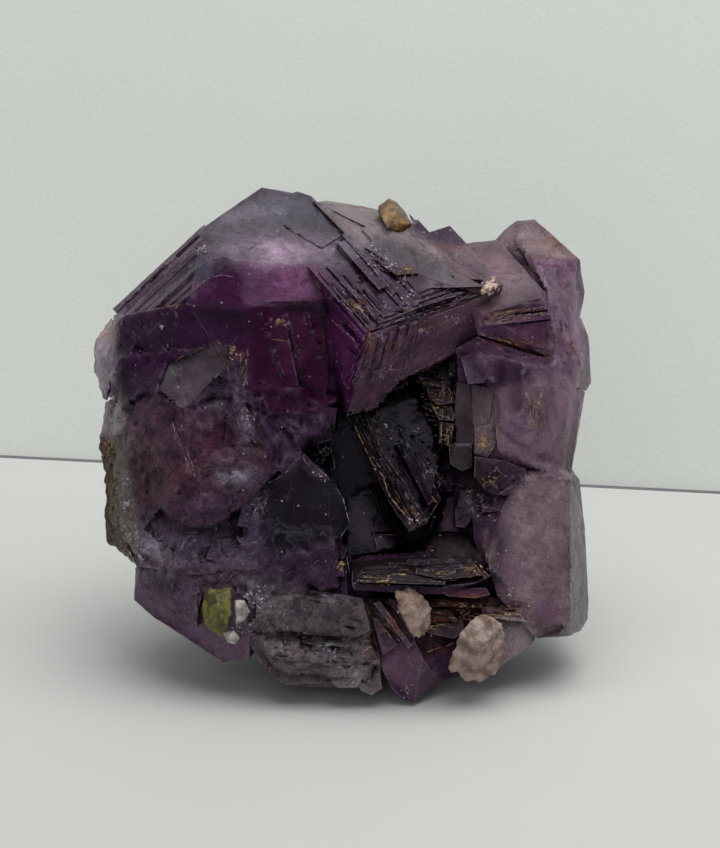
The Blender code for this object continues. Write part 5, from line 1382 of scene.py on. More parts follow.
# thin seams on the crystals: points as seen (u, v) and width; the pale ones are partly white cracks and
# partly painted glints along edges and rims
seams = {
    "gold": {
        "cornerEdge": ([(3.0, 42.4), (3.2, 41.4), (3.35, 40.4), (3.1, 39.5)], 0.34),
        "cornerLeftLow": ([(-1.9, 44.2), (0.2, 42.3), (1.6, 41.0)], 0.12),
        "cornerLeftHigh": ([(-0.8, 44.0), (0.9, 43.0), (2.8, 41.9)], 0.14),
        "cornerRim": ([(0.4, 46.3), (1.4, 45.6), (2.6, 45.0)], 0.3),
        "terraceEnd": ([(9.0, 42.6), (10.6, 43.1), (12.0, 43.5), (13.4, 44.1)], 0.24),
        "strokeOne": ([(5.1, 41.2), (5.2, 40.2)], 0.18),
        "strokeTwo": ([(6.2, 41.2), (6.6, 40.8)], 0.22),
        "strokeThree": ([(4.2, 39.5), (4.4, 38.8)], 0.16),
        "plateFoot": ([(6.6, 49.9), (7.6, 50.3), (8.6, 50.5)], 0.26),
        "shoulderOne": ([(-22.4, 44.6), (-21.2, 45.5), (-20.4, 46.3)], 0.2),
        "shoulderTwo": ([(-22.8, 47.4), (-21.0, 48.8), (-19.0, 50.4), (-17.4, 52.0)], 0.12),
        "shoulderThree": ([(-20.2, 46.8), (-18.4, 48.2), (-16.8, 49.4)], 0.16),
        "shoulderFour": ([(-26.4, 46.8), (-23.6, 49.4), (-20.4, 52.2)], 0.12),
        "facetTop": ([(-21.0, 39.2), (-18.4, 40.2), (-16.2, 41.2), (-15.0, 40.9)], 0.1),
        "facetSide": ([(-14.7, 39.2), (-14.6, 37.4), (-14.4, 36.2)], 0.12),
        "facetRight": ([(-13.1, 39.6), (-12.9, 37.8), (-12.5, 35.8)], 0.14),
        "frontSpot": ([(-9.4, 44.3), (-8.4, 43.8), (-7.2, 43.5)], 0.22),
        "frontLine": ([(-9.2, 41.6), (-7.6, 41.4), (-6.6, 41.2)], 0.08),
        "bevelEnd": ([(-3.8, 48.9), (-3.2, 48.2), (-2.9, 47.7)], 0.14),
        "bodyCrack": ([(-21.5, 31.0), (-20.6, 28.6), (-19.8, 26.4), (-19.0, 24.0)], 0.1),
        "shieldRib": ([(0.3, 32.0), (1.3, 30.6), (2.3, 28.4), (3.5, 26.0), (4.8, 24.4), (5.3, 22.6),
            (5.8, 21.7)], 0.2),
        "shieldRibFoot": ([(5.8, 21.7), (6.8, 20.4), (7.6, 19.6), (8.3, 18.3)], 0.22),
        "shieldSecond": ([(1.8, 32.2), (2.6, 30.6), (3.2, 29.0)], 0.1),
        "shieldThird": ([(4.8, 26.4), (6.2, 24.6), (7.6, 22.4), (8.3, 20.8), (9.0, 19.4)], 0.13),
        "shieldFourth": ([(5.4, 26.6), (6.6, 24.7), (7.8, 23.4)], 0.12),
        "shieldEdge": ([(12.9, 29.6), (12.8, 27.0), (12.3, 25.0), (11.7, 22.9)], 0.12),
        "shieldDashOne": ([(8.8, 24.2), (9.1, 23.4)], 0.16),
        "shieldDashTwo": ([(9.6, 25.0), (10.2, 23.8)], 0.16),
        "shieldPatch": ([(10.8, 22.0), (11.4, 21.2), (11.8, 20.8)], 0.26),
        "bricksTop": ([(8.9, 36.3), (10.4, 36.1), (12.0, 35.7)], 0.14),
        "bricksNetOne": ([(9.8, 33.9), (10.6, 34.4), (13.0, 33.7), (13.3, 32.6)], 0.15),
        "bricksNetTwo": ([(10.6, 34.4), (10.9, 33.2), (12.2, 32.5)], 0.2),
        "bricksDown": ([(12.1, 36.4), (12.3, 34.0), (12.2, 32.0), (11.9, 29.6), (11.7, 28.6)], 0.12),
        "bricksOuter": ([(13.6, 35.8), (13.9, 33.6), (13.5, 31.0), (13.2, 28.8), (12.7, 27.6)], 0.14),
        "bricksLine": ([(9.6, 32.4), (11.0, 32.0), (12.0, 31.8)], 0.1),
        "stripOne": ([(18.2, 32.9), (17.8, 31.2), (16.9, 28.8), (16.4, 27.4)], 0.18),
        "stripTwo": ([(16.3, 31.0), (16.4, 29.4), (16.1, 28.0)], 0.14),
        "stripThree": ([(17.2, 27.2), (18.3, 27.8), (18.9, 29.2), (19.0, 30.6)], 0.2),
        "lumpOne": ([(17.2, 23.2), (17.7, 23.8), (18.8, 23.8)], 0.2),
        "lumpTwo": ([(13.2, 23.6), (14.2, 23.4), (15.0, 23.2)], 0.1),
        "lumpThree": ([(18.6, 25.3), (19.4, 24.9), (20.2, 24.8)], 0.14),
        "lumpFour": ([(16.2, 20.8), (17.8, 20.6), (19.4, 20.3), (20.0, 19.6)], 0.12),
        "fissureOne": ([(16.6, 42.2), (19.0, 41.6), (21.6, 40.6), (24.2, 39.6), (26.0, 39.0)], 0.14),
        "fissureTwo": ([(17.2, 42.4), (20.2, 41.8), (23.4, 40.9)], 0.1),
        "roofLineOne": ([(17.8, 44.6), (20.2, 44.9), (23.0, 45.3), (25.6, 45.8)], 0.16),
        "roofLineTwo": ([(17.6, 43.4), (20.0, 43.7), (24.6, 44.4)], 0.1),
        "rimTop": ([(7.4, 54.5), (10.0, 53.2), (12.4, 52.2), (14.8, 50.9), (17.0, 49.5)], 0.16),
        "rimLeft": ([(-3.6, 59.0), (-1.4, 58.3), (0.6, 58.2), (3.0, 57.8)], 0.16),
        "peakRim": ([(23.9, 56.2), (25.8, 54.5), (27.8, 52.8), (29.2, 51.4)], 0.2),
        "peakLine": ([(22.6, 52.0), (25.0, 51.8), (28.4, 51.4)], 0.14),
        "peakSide": ([(20.4, 52.6), (21.6, 52.2), (22.6, 52.0), (23.4, 50.6), (24.4, 48.4)], 0.12),
        "rightSpot": ([(28.3, 41.0), (28.7, 40.2), (28.9, 39.6)], 0.3),
        "middleOne": ([(23.0, 34.6), (23.2, 32.4), (23.0, 30.2), (23.3, 29.0)], 0.14),
        "middleTwo": ([(24.4, 34.4), (24.6, 32.6), (24.2, 30.8)], 0.1),
        "ledgeFrontOne": ([(4.2, 11.3), (5.4, 11.4), (6.6, 11.2)], 0.34),
        "ledgeFrontTwo": ([(6.2, 12.3), (7.4, 12.2)], 0.3),
        "ledgeLine": ([(1.3, 11.9), (5.4, 11.7), (9.6, 11.4), (12.4, 11.3)], 0.08),
        "ledgeMiddle": ([(11.6, 12.3), (12.6, 12.2), (14.0, 12.6)], 0.2),
        "ledgeEnd": ([(16.2, 13.3), (17.2, 12.8), (17.8, 12.1)], 0.3),
        "ledgeSide": ([(17.2, 16.2), (17.9, 14.2), (18.3, 12.2)], 0.12),
        "stripeOne": ([(13.4, 8.3), (14.6, 8.6), (15.8, 8.4)], 0.34),
        "stripeTwo": ([(14.6, 6.9), (15.6, 7.5), (16.6, 7.6)], 0.36),
        "stripeThree": ([(17.6, 7.2), (19.4, 7.0), (20.8, 7.4), (21.8, 7.2), (22.4, 6.4)], 0.34),
        "stripeFour": ([(10.4, 5.7), (11.8, 5.9), (13.6, 5.9)], 0.3),
        "stripeFive": ([(10.2, 2.5), (11.4, 2.9), (12.6, 3.2), (13.8, 3.8)], 0.28),
        "stripeSix": ([(18.0, 9.2), (18.8, 9.5), (19.6, 9.3)], 0.2),
        "ribOne": ([(4.6, 7.0), (5.6, 5.6), (6.8, 4.4), (7.6, 4.1)], 0.2),
        "ribTwo": ([(3.2, 8.2), (4.6, 6.8), (5.0, 6.2)], 0.12),
        "ribThree": ([(5.0, 9.0), (6.2, 7.8), (7.4, 6.4)], 0.1),
        "ribSpot": ([(7.6, 1.6), (8.3, 0.9), (8.7, 0.4)], 0.16),
        "blockEdge": ([(2.9, 8.4), (3.5, 5.6), (4.1, 3.0), (4.5, 0.6)], 0.14),
        "blockPatch": ([(2.2, 2.6), (2.9, 3.0), (3.4, 3.4)], 0.2),
        "scratch": ([(-5.9, 8.8), (-5.2, 8.0), (-4.8, 7.4)], 0.16),
        "blackEdge": ([(0.2, 14.4), (0.5, 12.8), (0.6, 11.4)], 0.2),
        "slot": ([(12.3, 20.0), (12.5, 19.4)], 0.3),
        "crumbEdge": ([(-5.6, 27.6), (-5.0, 26.4), (-4.2, 25.4)], 0.1),
    },
    "pale": {
        "facetFoot": ([(-1.7, 24.3), (-1.0, 23.0), (-0.2, 21.6), (0.1, 20.2), (0.6, 18.5)], 0.14),
        "foldLine": ([(-0.4, 54.0), (2.4, 51.8), (5.2, 48.6), (7.8, 45.2)], 0.09),
        "foldLineTwo": ([(2.4, 50.4), (3.6, 48.8), (4.9, 47.2)], 0.08),
        "plateLine": ([(9.8, 50.9), (11.6, 49.9), (13.9, 48.5)], 0.09),
        "sideLow": ([(5.8, 36.1), (7.2, 37.0), (9.0, 37.7), (10.6, 38.4), (11.5, 39.0), (14.4, 40.6)], 0.1),
        "cornerRidgeOne": ([(2.4, 39.5), (1.6, 37.8), (0.8, 36.0)], 0.1),
        "cornerRidgeTwo": ([(3.3, 39.0), (2.9, 37.6), (2.4, 36.2)], 0.08),
        "cornerGlint": ([(3.6, 42.3), (4.6, 42.0), (5.6, 42.0)], 0.18),
        "chipsOne": ([(12.6, 43.9), (13.6, 44.2), (14.6, 44.2)], 0.3),
        "bevelTop": ([(-14.6, 51.6), (-12.0, 51.2), (-8.0, 51.1), (-4.0, 50.8), (-2.2, 50.5)], 0.08),
        "bevelFoot": ([(-18.2, 48.3), (-17.2, 49.2), (-15.6, 49.6), (-13.8, 49.4)], 0.12),
        "ledgeBand": ([(-21.6, 48.0), (-20.0, 49.4), (-18.2, 50.8), (-16.6, 52.0)], 0.12),
        "curlOne": ([(5.6, 30.2), (6.6, 30.0), (6.8, 29.2), (6.2, 28.6)], 0.1),
        "curlTwo": ([(8.4, 30.2), (9.2, 30.0), (9.8, 29.6), (9.9, 28.8)], 0.12),
        "shieldFoot": ([(11.8, 21.3), (10.8, 19.6), (9.2, 18.2), (7.6, 17.2)], 0.1),
        "netOne": ([(-3.2, 27.2), (-2.6, 27.8), (-1.8, 28.4)], 0.14),
        "netTwo": ([(-3.8, 24.6), (-2.8, 23.8), (-1.9, 24.4)], 0.1),
        "netThree": ([(-3.6, 26.0), (-2.8, 25.2), (-2.2, 24.4)], 0.08),
        "lipEdge": ([(-20.6, 18.6), (-18.6, 18.0), (-16.6, 18.1), (-15.0, 18.8), (-12.4, 21.2),
            (-10.4, 23.0)], 0.07),
        "scratches": ([(-11.6, 19.6), (-10.8, 21.0), (-10.0, 22.4)], 0.14),
        "scratchesLow": ([(-12.8, 17.4), (-12.0, 18.8), (-11.4, 19.8)], 0.1),
        "facetLeftRim": ([(-9.6, 23.6), (-8.4, 24.2), (-7.4, 24.9), (-6.4, 26.2), (-5.3, 27.4)], 0.08),
        "lowerFaceTop": ([(19.8, 21.2), (21.0, 22.6), (22.6, 23.2), (23.0, 24.8)], 0.08),
        "sideEdge": ([(28.1, 22.6), (28.2, 16.0), (28.1, 8.0)], 0.06),
        "footEdge": ([(4.8, -0.6), (6.2, -2.4), (7.4, -3.3)], 0.14),
        "gapLine": ([(-10.2, 6.6), (-8.8, 6.9), (-7.2, 7.4)], 0.08),
    },
}

# small broken grains lying in the corners: place as seen (u, v), spread, how many and how large; the pale
# ones on the terraces partly serve as painted glints
crumbs = {
    "gold": ((-13.9, 39.9, 0.7, 22, 0.42), (-8.0, 43.7, 0.5, 10, 0.3), (3.1, 41.4, 0.35, 12, 0.34),
        (7.6, 50.2, 0.7, 12, 0.34), (17.4, 28.6, 0.9, 18, 0.38), (18.2, 24.2, 0.7, 10, 0.34),
        (11.6, 33.0, 0.9, 12, 0.3), (15.0, 7.6, 1.2, 14, 0.4), (20.4, 7.2, 1.2, 14, 0.4),
        (11.6, 5.9, 1.0, 10, 0.34), (-0.5, 13.4, 0.6, 12, 0.5), (5.4, 11.3, 0.8, 10, 0.34),
        (17.0, 12.8, 0.7, 10, 0.34), (-29.6, 28.2, 0.5, 8, 0.5), (9.0, 19.2, 0.7, 10, 0.3),
        (-21.4, 45.4, 0.6, 8, 0.26)),
    "pale": ((-17.8, 52.8, 0.6, 20, 0.4), (-22.9, 43.0, 0.25, 6, 0.4), (-12.0, 56.8, 0.4, 6, 0.34),
        (3.8, 52.2, 1.3, 32, 0.42), (-1.0, 53.6, 1.2, 24, 0.4), (5.8, 50.6, 0.9, 18, 0.4),
        (8.4, 46.9, 0.8, 14, 0.36), (7.2, 49.2, 0.6, 10, 0.36), (4.7, 42.1, 0.7, 12, 0.34),
        (4.5, 37.0, 0.35, 8, 0.44), (5.5, 38.0, 0.35, 8, 0.4), (9.8, 42.4, 0.6, 12, 0.34),
        (13.6, 44.1, 0.9, 16, 0.4), (-12.4, 8.2, 1.0, 22, 0.6), (-11.2, 9.8, 0.9, 16, 0.5),
        (-13.4, 5.4, 0.5, 10, 0.5), (7.8, -2.4, 0.9, 12, 0.4), (-2.4, 2.9, 1.8, 16, 0.3),
        (-2.6, 27.8, 0.7, 12, 0.3), (-3.2, 24.8, 0.8, 10, 0.26), (-12.6, 31.6, 0.9, 14, 0.3),
        (-10.8, 21.2, 0.9, 14, 0.22), (19.6, 13.6, 1.8, 22, 0.26), (20.8, 10.0, 0.9, 14, 0.3),
        (-10.8, 8.4, 1.2, 16, 0.42), (-12.6, 5.6, 0.8, 12, 0.4), (1.4, -1.0, 1.2, 12, 0.5),
        (-7.6, 3.2, 1.8, 14, 0.3), (-24.6, 16.2, 1.2, 12, 0.3), (8.6, 18.9, 0.5, 8, 0.34),
        (-29.0, 33.4, 0.5, 10, 0.4), (10.9, 15.1, 0.15, 2, 0.3), (23.0, 9.2, 0.6, 6, 0.3),
        (5.0, 30.9, 0.3, 5, 0.4), (-27.6, 24.2, 0.9, 16, 0.5), (-27.2, 20.8, 0.9, 18, 0.5),
        (-26.6, 17.4, 0.9, 18, 0.55), (-25.6, 14.8, 0.9, 18, 0.5)),
    "rind": ((-29.6, 27.4, 0.6, 8, 0.8), (-29.2, 23.6, 0.7, 10, 0.8), (-28.6, 20.0, 0.8, 10, 0.8),
        (-27.4, 15.6, 0.9, 12, 0.8)),
    "cream": ((18.1, 48.3, 0.8, 34, 0.7), (-30.2, 42.4, 0.7, 10, 0.6), (6.9, 7.9, 0.6, 12, 0.4),
        (9.4, 5.2, 0.9, 12, 0.4)),
}

# families of short fine strokes: outline as seen, direction, how many, length and width; the pale ones on the
# terraces are partly painted glints
strokes = {
    "gold": (
        ([(-28.2, 45.8), (-18.6, 55.2), (-17.2, 53.0), (-21, 48.2), (-27, 45.2)], (0.735, 0.678),
            16, 1.8, 0.1),
        ([(4, 42.8), (17, 46.9), (13.8, 48.2), (5.6, 45.6)], (0.952, 0.306), 14, 1.4, 0.1),
        ([(-2.0, 47.4), (2.6, 43.0), (3.6, 44.4), (0.4, 48.4)], (-0.66, 0.75), 8, 1.2, 0.1),
        ([(0.9, 31.8), (3.0, 31.4), (9.4, 19.4), (7.8, 18.4)], (0.484, -0.875), 20, 1.8, 0.09),
        ([(9.2, 36.8), (13.6, 36.4), (13.6, 29), (11.8, 29), (9.6, 33.4)], (0.99, -0.14), 22, 1.1, 0.1),
        ([(11.4, 36.4), (13.6, 36.4), (13.4, 28), (12.0, 28)], (0.05, -1.0), 10, 1.6, 0.1),
        ([(16.6, 42.6), (26.0, 39.6), (25.8, 38.6), (16.4, 41.4)], (0.95, -0.31), 16, 2.2, 0.1),
        ([(17.6, 43.0), (25.6, 44.6), (25.8, 46.0), (17.6, 44.8)], (0.985, 0.15), 16, 1.8, 0.1),
        ([(22.6, 35.0), (24.8, 35.0), (24.6, 28.8), (22.8, 28.8)], (0.05, -1.0), 14, 1.0, 0.12),
        ([(16.0, 31.6), (18.6, 31.6), (19.0, 27.4), (16.4, 27.0)], (0.4, -0.9), 12, 1.2, 0.13),
        ([(20.6, 53.6), (24.6, 55.4), (28.8, 51.6), (22.8, 51.6)], (0.8, -0.6), 10, 1.0, 0.1),
        ([(2.4, 11.0), (17.6, 11.6), (17.6, 13.2), (2.4, 12.6)], (1.0, 0.02), 18, 1.3, 0.14),
        ([(9.8, 9.2), (22.4, 8.2), (21.6, 6.4), (10.2, 5.2)], (0.985, -0.1), 20, 1.5, 0.16),
        ([(3.8, 8.8), (8.8, 5.0), (7.8, 3.2), (4.4, 4.6)], (0.66, -0.75), 12, 1.6, 0.12),
        ([(-13.2, 40.4), (-12.0, 40.2), (-12.2, 35), (-13.2, 36)], (0.05, -1.0), 8, 1.2, 0.1),
        ([(-9.8, 44.4), (-6.6, 44.0), (-6.8, 43.0), (-9.6, 43.4)], (0.97, -0.2), 5, 0.8, 0.14),
        ([(14.4, 22.4), (21.6, 25.2), (20.4, 20.8), (15.4, 19.4)], (0.8, 0.5), 10, 1.0, 0.11),
    ),
    "pale": (
        ([(-27.6, 46.2), (-18.6, 55.0), (-17.4, 53.4), (-26.2, 45.6)], (0.735, 0.678), 18, 1.6, 0.08),
        ([(-18.8, 53.6), (-14.8, 55.0), (-15.4, 51.6), (-18.4, 51.2)], (0.72, 0.69), 12, 0.9, 0.09),
        ([(4, 42.8), (17, 46.9), (13.8, 48.2), (5.6, 45.6)], (0.952, 0.306), 40, 1.2, 0.08),
        ([(-2.0, 48.0), (2.6, 43.0), (4.6, 45.0), (1.4, 49.6)], (-0.66, 0.75), 30, 1.0, 0.08),
        ([(-0.6, 54.4), (0.8, 54.6), (9.0, 44.8), (7.6, 44.6)], (0.62, -0.78), 34, 1.1, 0.08),
        ([(-3.4, 55.6), (-1.6, 56.0), (6.4, 51.2), (5.6, 50.2)], (0.9, -0.44), 22, 0.8, 0.12),
        ([(0.2, 37.2), (1.0, 41.2), (3.0, 41), (3.1, 38), (1.4, 34.8)], (-0.42, -0.91), 12, 1.4, 0.06),
        ([(4.0, 41.4), (10.5, 42.6), (8.6, 39.0), (5.0, 37.0)], (-0.24, -0.97), 10, 0.8, 0.08),
        ([(-28.4, 44.6), (-20, 45), (-21, 40), (-28.6, 39)], (0.6, -0.8), 14, 0.9, 0.06),
        ([(-12.8, 33.6), (-11.0, 33.0), (-11.4, 29.6), (-13.4, 30.2)], (0.35, -0.94), 14, 0.9, 0.09),
        ([(-21.6, 31), (-19.6, 31), (-18.2, 24), (-20.2, 24)], (0.25, -0.97), 10, 1.3, 0.07),
        ([(-15.8, 25.4), (-12.0, 25.4), (-12.2, 23.4), (-15.6, 23.6)], (0.9, 0.2), 12, 0.9, 0.1),
        ([(-12.8, 20.0), (-9.6, 23.4), (-9.2, 21.6), (-12.4, 17.6)], (0.55, 0.83), 16, 1.3, 0.08),
        ([(-25.8, 17.4), (-19.8, 17.0), (-19.6, 13.2), (-25.6, 13.0)], (0.7, 0.72), 26, 0.9, 0.1),
        ([(-19.6, 17.6), (-11.6, 17.0), (-10.6, 14.6), (-19.4, 13.6)], (0.97, 0.2), 20, 1.3, 0.06),
        ([(-14.6, 13.4), (-8.2, 12.8), (-3.0, 15.0), (-2.4, 13.2), (-9.0, 10.8), (-14.2, 10.8)],
            (0.8, 0.6), 22, 1.1, 0.07),
        ([(-26, 12.6), (-20.6, 12.4), (-17, 5), (-21, 6.4), (-26, 9)], (0.5, -0.86), 18, 1.0, 0.07),
        ([(-9.6, 4.6), (3.6, 4.0), (3.8, 0.4), (-9.0, 0.6)], (0.998, -0.06), 30, 1.2, 0.07),
        ([(-11.8, 9.4), (-7.0, 9.2), (-7.4, 5.4), (-12.0, 5.4)], (0.6, 0.8), 20, 0.9, 0.09),
        ([(-1.0, -0.2), (4.4, 1.0), (4.2, -2.0), (-0.6, -1.4)], (0.7, 0.7), 14, 0.8, 0.1),
        ([(26.0, 44.6), (29.0, 44), (29.4, 37.6), (26.6, 38)], (0.3, -0.95), 12, 0.9, 0.07),
        ([(22.8, 50.8), (29.0, 50.6), (28.6, 49.0), (23.6, 48.8)], (0.9, -0.35), 14, 0.8, 0.1),
        ([(-4.0, 28.4), (-1.4, 28.6), (-2.0, 24.0), (-4.4, 25.0)], (0.7, 0.7), 14, 0.7, 0.07),
        ([(12.6, 44.2), (15.8, 45.0), (15.8, 43.8), (12.8, 43.2)], (0.95, 0.3), 8, 0.7, 0.12),
    ),
}

# middle, dark and bright screen tints of the seams and crumbs
seamTints = {
    "gold": ((154, 126, 92), (84, 62, 46), (236, 220, 188)),
    "pale": ((150, 140, 156), (92, 82, 100), (222, 216, 226)),
    "rind": ((92, 74, 50), (40, 32, 24), (150, 140, 120)),
    "cream": ((204, 180, 166), (150, 118, 96), (236, 226, 216)),
}

# gap between points, waver, longest jump and share of gaps along a line, thickness and seed of the draws
seamRules = {"gap": 0.16, "waver": 0.03, "jump": 0.9, "missing": 0.1, "thickness": 0.28, "seed": 23}


def seamMaterial(kind):
    made, tree, shader, where = newMaterial(kind + "Seam")
    middle, dark, bright = seamTints[kind]
    cloud = addNoise(tree, where, 1400.0, 4.0, 0.7)
    colour = addMix(tree, addRamp(tree, cloud, 0.36, 0.56), linear(*dark), linear(*middle))
    colour = addMix(tree, addRamp(tree, cloud, 0.6, 0.74), colour, linear(*bright))
    feedAll(tree, shader, {
        "Base Color": colour,
        "Roughness": addRamp(tree, cloud, 0.3, 0.7, 0.3, 0.6),
        "Normal": addBump(tree, addNoise(tree, where, 4200.0, 3.0, 0.6), 0.5, 0.0001),
    })
    return made


def seamRuns(tree, points, chance):
    # places along the line on the surface, broken off where it drops away
    runs = [[]]
    for (u0, v0), (u1, v1) in zip(points, points[1:]):
        count = max(2, int(math.hypot(u1 - u0, v1 - v0) / seamRules["gap"]))
        for index in range(count):
            share = index / count
            u = u0 + (u1 - u0) * share + chance.gauss(0, seamRules["waver"])
            v = v0 + (v1 - v0) * share + chance.gauss(0, seamRules["waver"])
            place = surfaceSeen(tree, u, v)[0]
            if place is None or (runs[-1] and (place - runs[-1][-1]).length > seamRules["jump"] * mm):
                runs.append([])
            if place is not None and chance.random() > seamRules["missing"]:
                runs[-1].append(place)
            elif runs[-1]:
                runs.append([])
    return [run for run in runs if len(run) > 2]


def strokeLines(kind, chance):
    # short slightly bent lines scattered inside the outlines
    lines = []
    for outline, direction, count, length, width in strokes.get(kind, ()):
        lowU, highU, lowV, highV = spanOf(outline)
        for _ in range(count * 3):
            u = chance.uniform(lowU, highU)
            v = chance.uniform(lowV, highV)
            if not insideOutline(np.array([u]), np.array([v]), outline)[0]:
                continue
            half = length * chance.uniform(0.25, 0.8)
            lean = chance.gauss(0, 0.12)
            du = (direction[0] - direction[1] * lean) * half
            dv = (direction[1] + direction[0] * lean) * half
            lines.append(([(u - du, v - dv), (u, v), (u + du, v + dv)], width * chance.uniform(0.7, 1.5)))
    return lines


def addCrumbs(made, tree, kind, chance):
    # small broken grains on the surface, each turned and bent its own way
    shape = shapeOf(made.data)
    for midU, midV, spread, count, size in crumbs[kind]:
        for _ in range(count):
            place, normal = surfaceSeen(tree, chance.gauss(midU, spread * 0.6),
                                        chance.gauss(midV, spread * 0.6))
            if place is None:
                continue
            half = size * chance.uniform(0.3, 0.9) * 0.5 * mm
            grain = bmesh.ops.create_icosphere(shape, subdivisions=1, radius=half)
            stretch = Vector((chance.uniform(0.7, 1.4), chance.uniform(0.7, 1.4), chance.uniform(0.6, 1.1)))
            upright = normal.to_track_quat("Z", "Y").to_matrix()
            turn = upright @ Matrix.Rotation(chance.uniform(0, 6.28), 3, "Z")
            for corner in grain["verts"]:
                bent = [corner.co[axis] * stretch[axis] * chance.uniform(0.6, 1.4) for axis in range(3)]
                corner.co = place + turn @ Vector(bent)
    putBack(shape, made.data)


def makeSeams(obj, kind):
    tree = rayTreeOf(obj)
    chance = random.Random(seamRules["seed"])
    curve = bpy.data.curves.new(kind + "Seams", "CURVE")
    curve.dimensions = "3D"
    curve.bevel_depth = 1.0 * mm
    curve.bevel_resolution = 1
    curve.use_fill_caps = True
    for points, width in [*seams.get(kind, {}).values(), *strokeLines(kind, chance)]:
        for run in seamRuns(tree, points, chance):
            spline = curve.splines.new("POLY")
            spline.points.add(len(run) - 1)
            for index, place in enumerate(run):
                ends = min(1.0, (min(index, len(run) - 1 - index) + 0.4) / 1.6)
                spline.points[index].co = (*place, 1.0)
                spline.points[index].radius = width * seamRules["thickness"] * ends * chance.uniform(0.4, 1.3)
    made = newObject(kind + "Seams", curve)
    takeUp(made)
    if curve.splines:
        bpy.ops.object.convert(target="MESH")
        made = bpy.context.object
    else:
        bpy.data.objects.remove(made)
        made = newObject(kind + "Grains", bpy.data.meshes.new(kind + "Grains"))
    addCrumbs(made, tree, kind, chance)
    roughen(made, 0.3 * mm, 0.05 * mm)
    keepInside(made)
    made.data.materials.clear()
    made.data.materials.append(seamMaterial(kind))
    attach(made, "root")
    print(made.name, "made:", len(made.data.polygons), "faces")


for kind in ("gold", "pale", "rind", "cream"):
    makeSeams(crystals, kind)


grainLooks = {
    "siderite_crystal": {
        "name": "sideriteCrystal", "slot": "siderite",
        "tint": (146, 108, 60), "dark": (78, 54, 24), "rough": 0.3, "lump": 0.25, "dust": 0.12},
    "calcite_crystal_large": {
        "name": "calciteLarge", "slot": "calcite",
        "tint": (152, 130, 121), "dark": (102, 76, 66), "rough": 0.5, "lump": 0.9, "dust": 0.4},
    "calcite_crystal_small": {
        "name": "calciteSmall", "slot": "calcite",
        "tint": (142, 116, 106), "dark": (88, 60, 50), "rough": 0.5, "lump": 0.7, "dust": 0.4},
    "yellow_green_grain": {
        "name": "yellowGreenGrain", "slot": "yellow_green_mineral",
        "tint": (112, 106, 28), "dark": (52, 50, 12), "rough": 0.3, "lump": 0.75, "dust": 0.1},
    "white_grain": {
        "name": "whiteGrain", "slot": "white_mineral",
        "tint": (176, 172, 166), "dark": (112, 106, 100), "rough": 0.4, "lump": 0.55, "dust": 0.4},
    "white_crumb": {
        "name": "whiteCrumb", "slot": "white_mineral",
        "tint": (180, 176, 170), "dark": (120, 112, 108), "rough": 0.4, "lump": 0.4, "dust": 0.4},
}


def grainMaterial(look):
    made, tree, shader, where = newMaterial(look["name"] + "Mineral")
    cloud = addNoise(tree, where, 620.0, 5.0, 0.65)
    colour = addMix(tree, addRamp(tree, cloud, 0.4, 0.62), linear(*look["dark"]), linear(*look["tint"]))
    dust = useGroup(tree, dustVeil, {"Where": where, "Patch Scale": 600.0, "Amount": look["dust"]})
    colour = addMix(tree, dust, colour, linear(214, 208, 202))
    feedAll(tree, shader, {
        "Base Color": colour,
        "Roughness": addRamp(tree, cloud, 0.3, 0.7, look["rough"], look["rough"] + 0.3),
        "Normal": addBump(tree, addNoise(tree, where, 1700.0, 5.0, 0.7), 0.6, 0.0004),
    })
    return made


def makeGrains():
    for nodeName, look in grainLooks.items():
        obj = copyOfNode(nodeName, look["name"])
        splitLongEdges(obj, 0.4 * mm, 6)
        roughen(obj, 1.3 * mm, -look["lump"] * mm)
        roughen(obj, 0.6 * mm, look["lump"] * 0.4 * mm)
        keepInside(obj)
        takeUp(obj)
        bpy.ops.object.shade_smooth_by_angle(angle=math.radians(30))
        obj.data.materials.append(grainMaterial(look))
        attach(obj, "root")
        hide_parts(nodeName)
        print(look["name"], "made:", len(obj.data.polygons), "faces")


makeGrains()


room = {
    "wallDistance": 73.0,
    "wallTurn": 9.4,
    "gap": 1.3,
    "lean": 28.0,
    "floorTint": (197, 199, 196),
    "wallTint": (207, 210, 206),
}


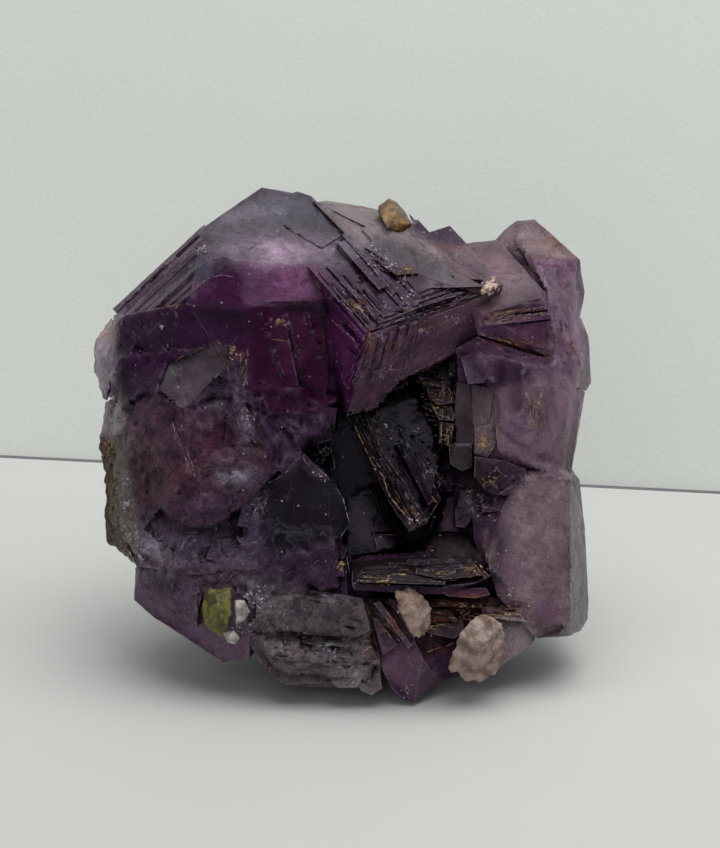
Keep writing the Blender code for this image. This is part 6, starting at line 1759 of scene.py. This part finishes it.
def plainMaterial(name, tint, grain):
    made, tree, shader, where = newMaterial(name)
    # nothing is seen of a sheet from behind
    back = tree.nodes.new("ShaderNodeNewGeometry").outputs["Backfacing"]
    cloud = addNoise(tree, where, 14.0, 3.0, 0.5)
    colour = addMix(tree, addRamp(tree, cloud, 0.3, 0.7, 0.0, 0.35), linear(*tint),
                    linear(tint[0] - 7, tint[1] - 6, tint[2] - 6))
    feedAll(tree, shader, {
        "Base Color": colour,
        "Roughness": 0.75,
        "Normal": addBump(tree, addNoise(tree, where, 1400.0, 3.0, 0.5), grain, 0.0002),
        "Alpha": addMath(tree, "SUBTRACT", 1.0, back),
    })
    return made


def makeRoom():
    turn = math.radians(room["wallTurn"])
    backward = Vector((math.sin(turn), math.cos(turn), 0))
    foot = Vector((0, room["wallDistance"] * mm, 0))
    lean = math.radians(room["lean"])
    upward = backward * math.sin(lean) + Vector((0, 0, math.cos(lean)))
    bpy.ops.mesh.primitive_plane_add(size=2.0, location=foot - backward * (1.0 + room["gap"] * mm),
                                     rotation=(0, 0, -turn))
    floor = bpy.context.object
    floor.name = "floorSheet"
    floor.data.materials.append(plainMaterial("paleFloor", room["floorTint"], 0.2))
    bpy.ops.mesh.primitive_plane_add(size=2.0, location=foot + upward,
                                     rotation=(math.radians(90) - lean, 0, -turn))
    wall = bpy.context.object
    wall.name = "backdropSheet"
    wall.data.materials.append(plainMaterial("paleWall", room["wallTint"], 0.35))


lamps = {
    "overhead": {"place": (0.06, -0.02, 0.42), "aim": (0.0, 0.04, 0.0), "size": 0.5,
                 "spread": 110, "watts": 1.04, "tint": (1.0, 1.0, 0.975)},
    "front": {"place": (-0.10, -0.60, 0.20), "aim": (0.0, 0.0, 0.02), "size": 0.5,
              "spread": 180, "watts": 0.96, "tint": (0.98, 0.99, 1.0)},
}


def makeLight():
    for name, lamp in lamps.items():
        bpy.ops.object.light_add(type="AREA", location=lamp["place"])
        light = bpy.context.object
        light.name = name + "Lamp"
        light.data.size = lamp["size"]
        light.data.energy = lamp["watts"]
        light.data.color = lamp["tint"]
        light.data.spread = math.radians(lamp["spread"])
        light.rotation_euler = (Vector(lamp["aim"]) - light.location).to_track_quat("-Z", "Y").to_euler()
    world = bpy.data.worlds.new("softWorld")
    world.use_nodes = True
    world.node_tree.nodes["Background"].inputs["Color"].default_value = (0.95, 0.97, 1.0, 1.0)
    world.node_tree.nodes["Background"].inputs["Strength"].default_value = 0.2
    bpy.context.scene.world = world
    bpy.context.scene.view_settings.view_transform = "Standard"


makeRoom()
makeLight()
print("room and light made")
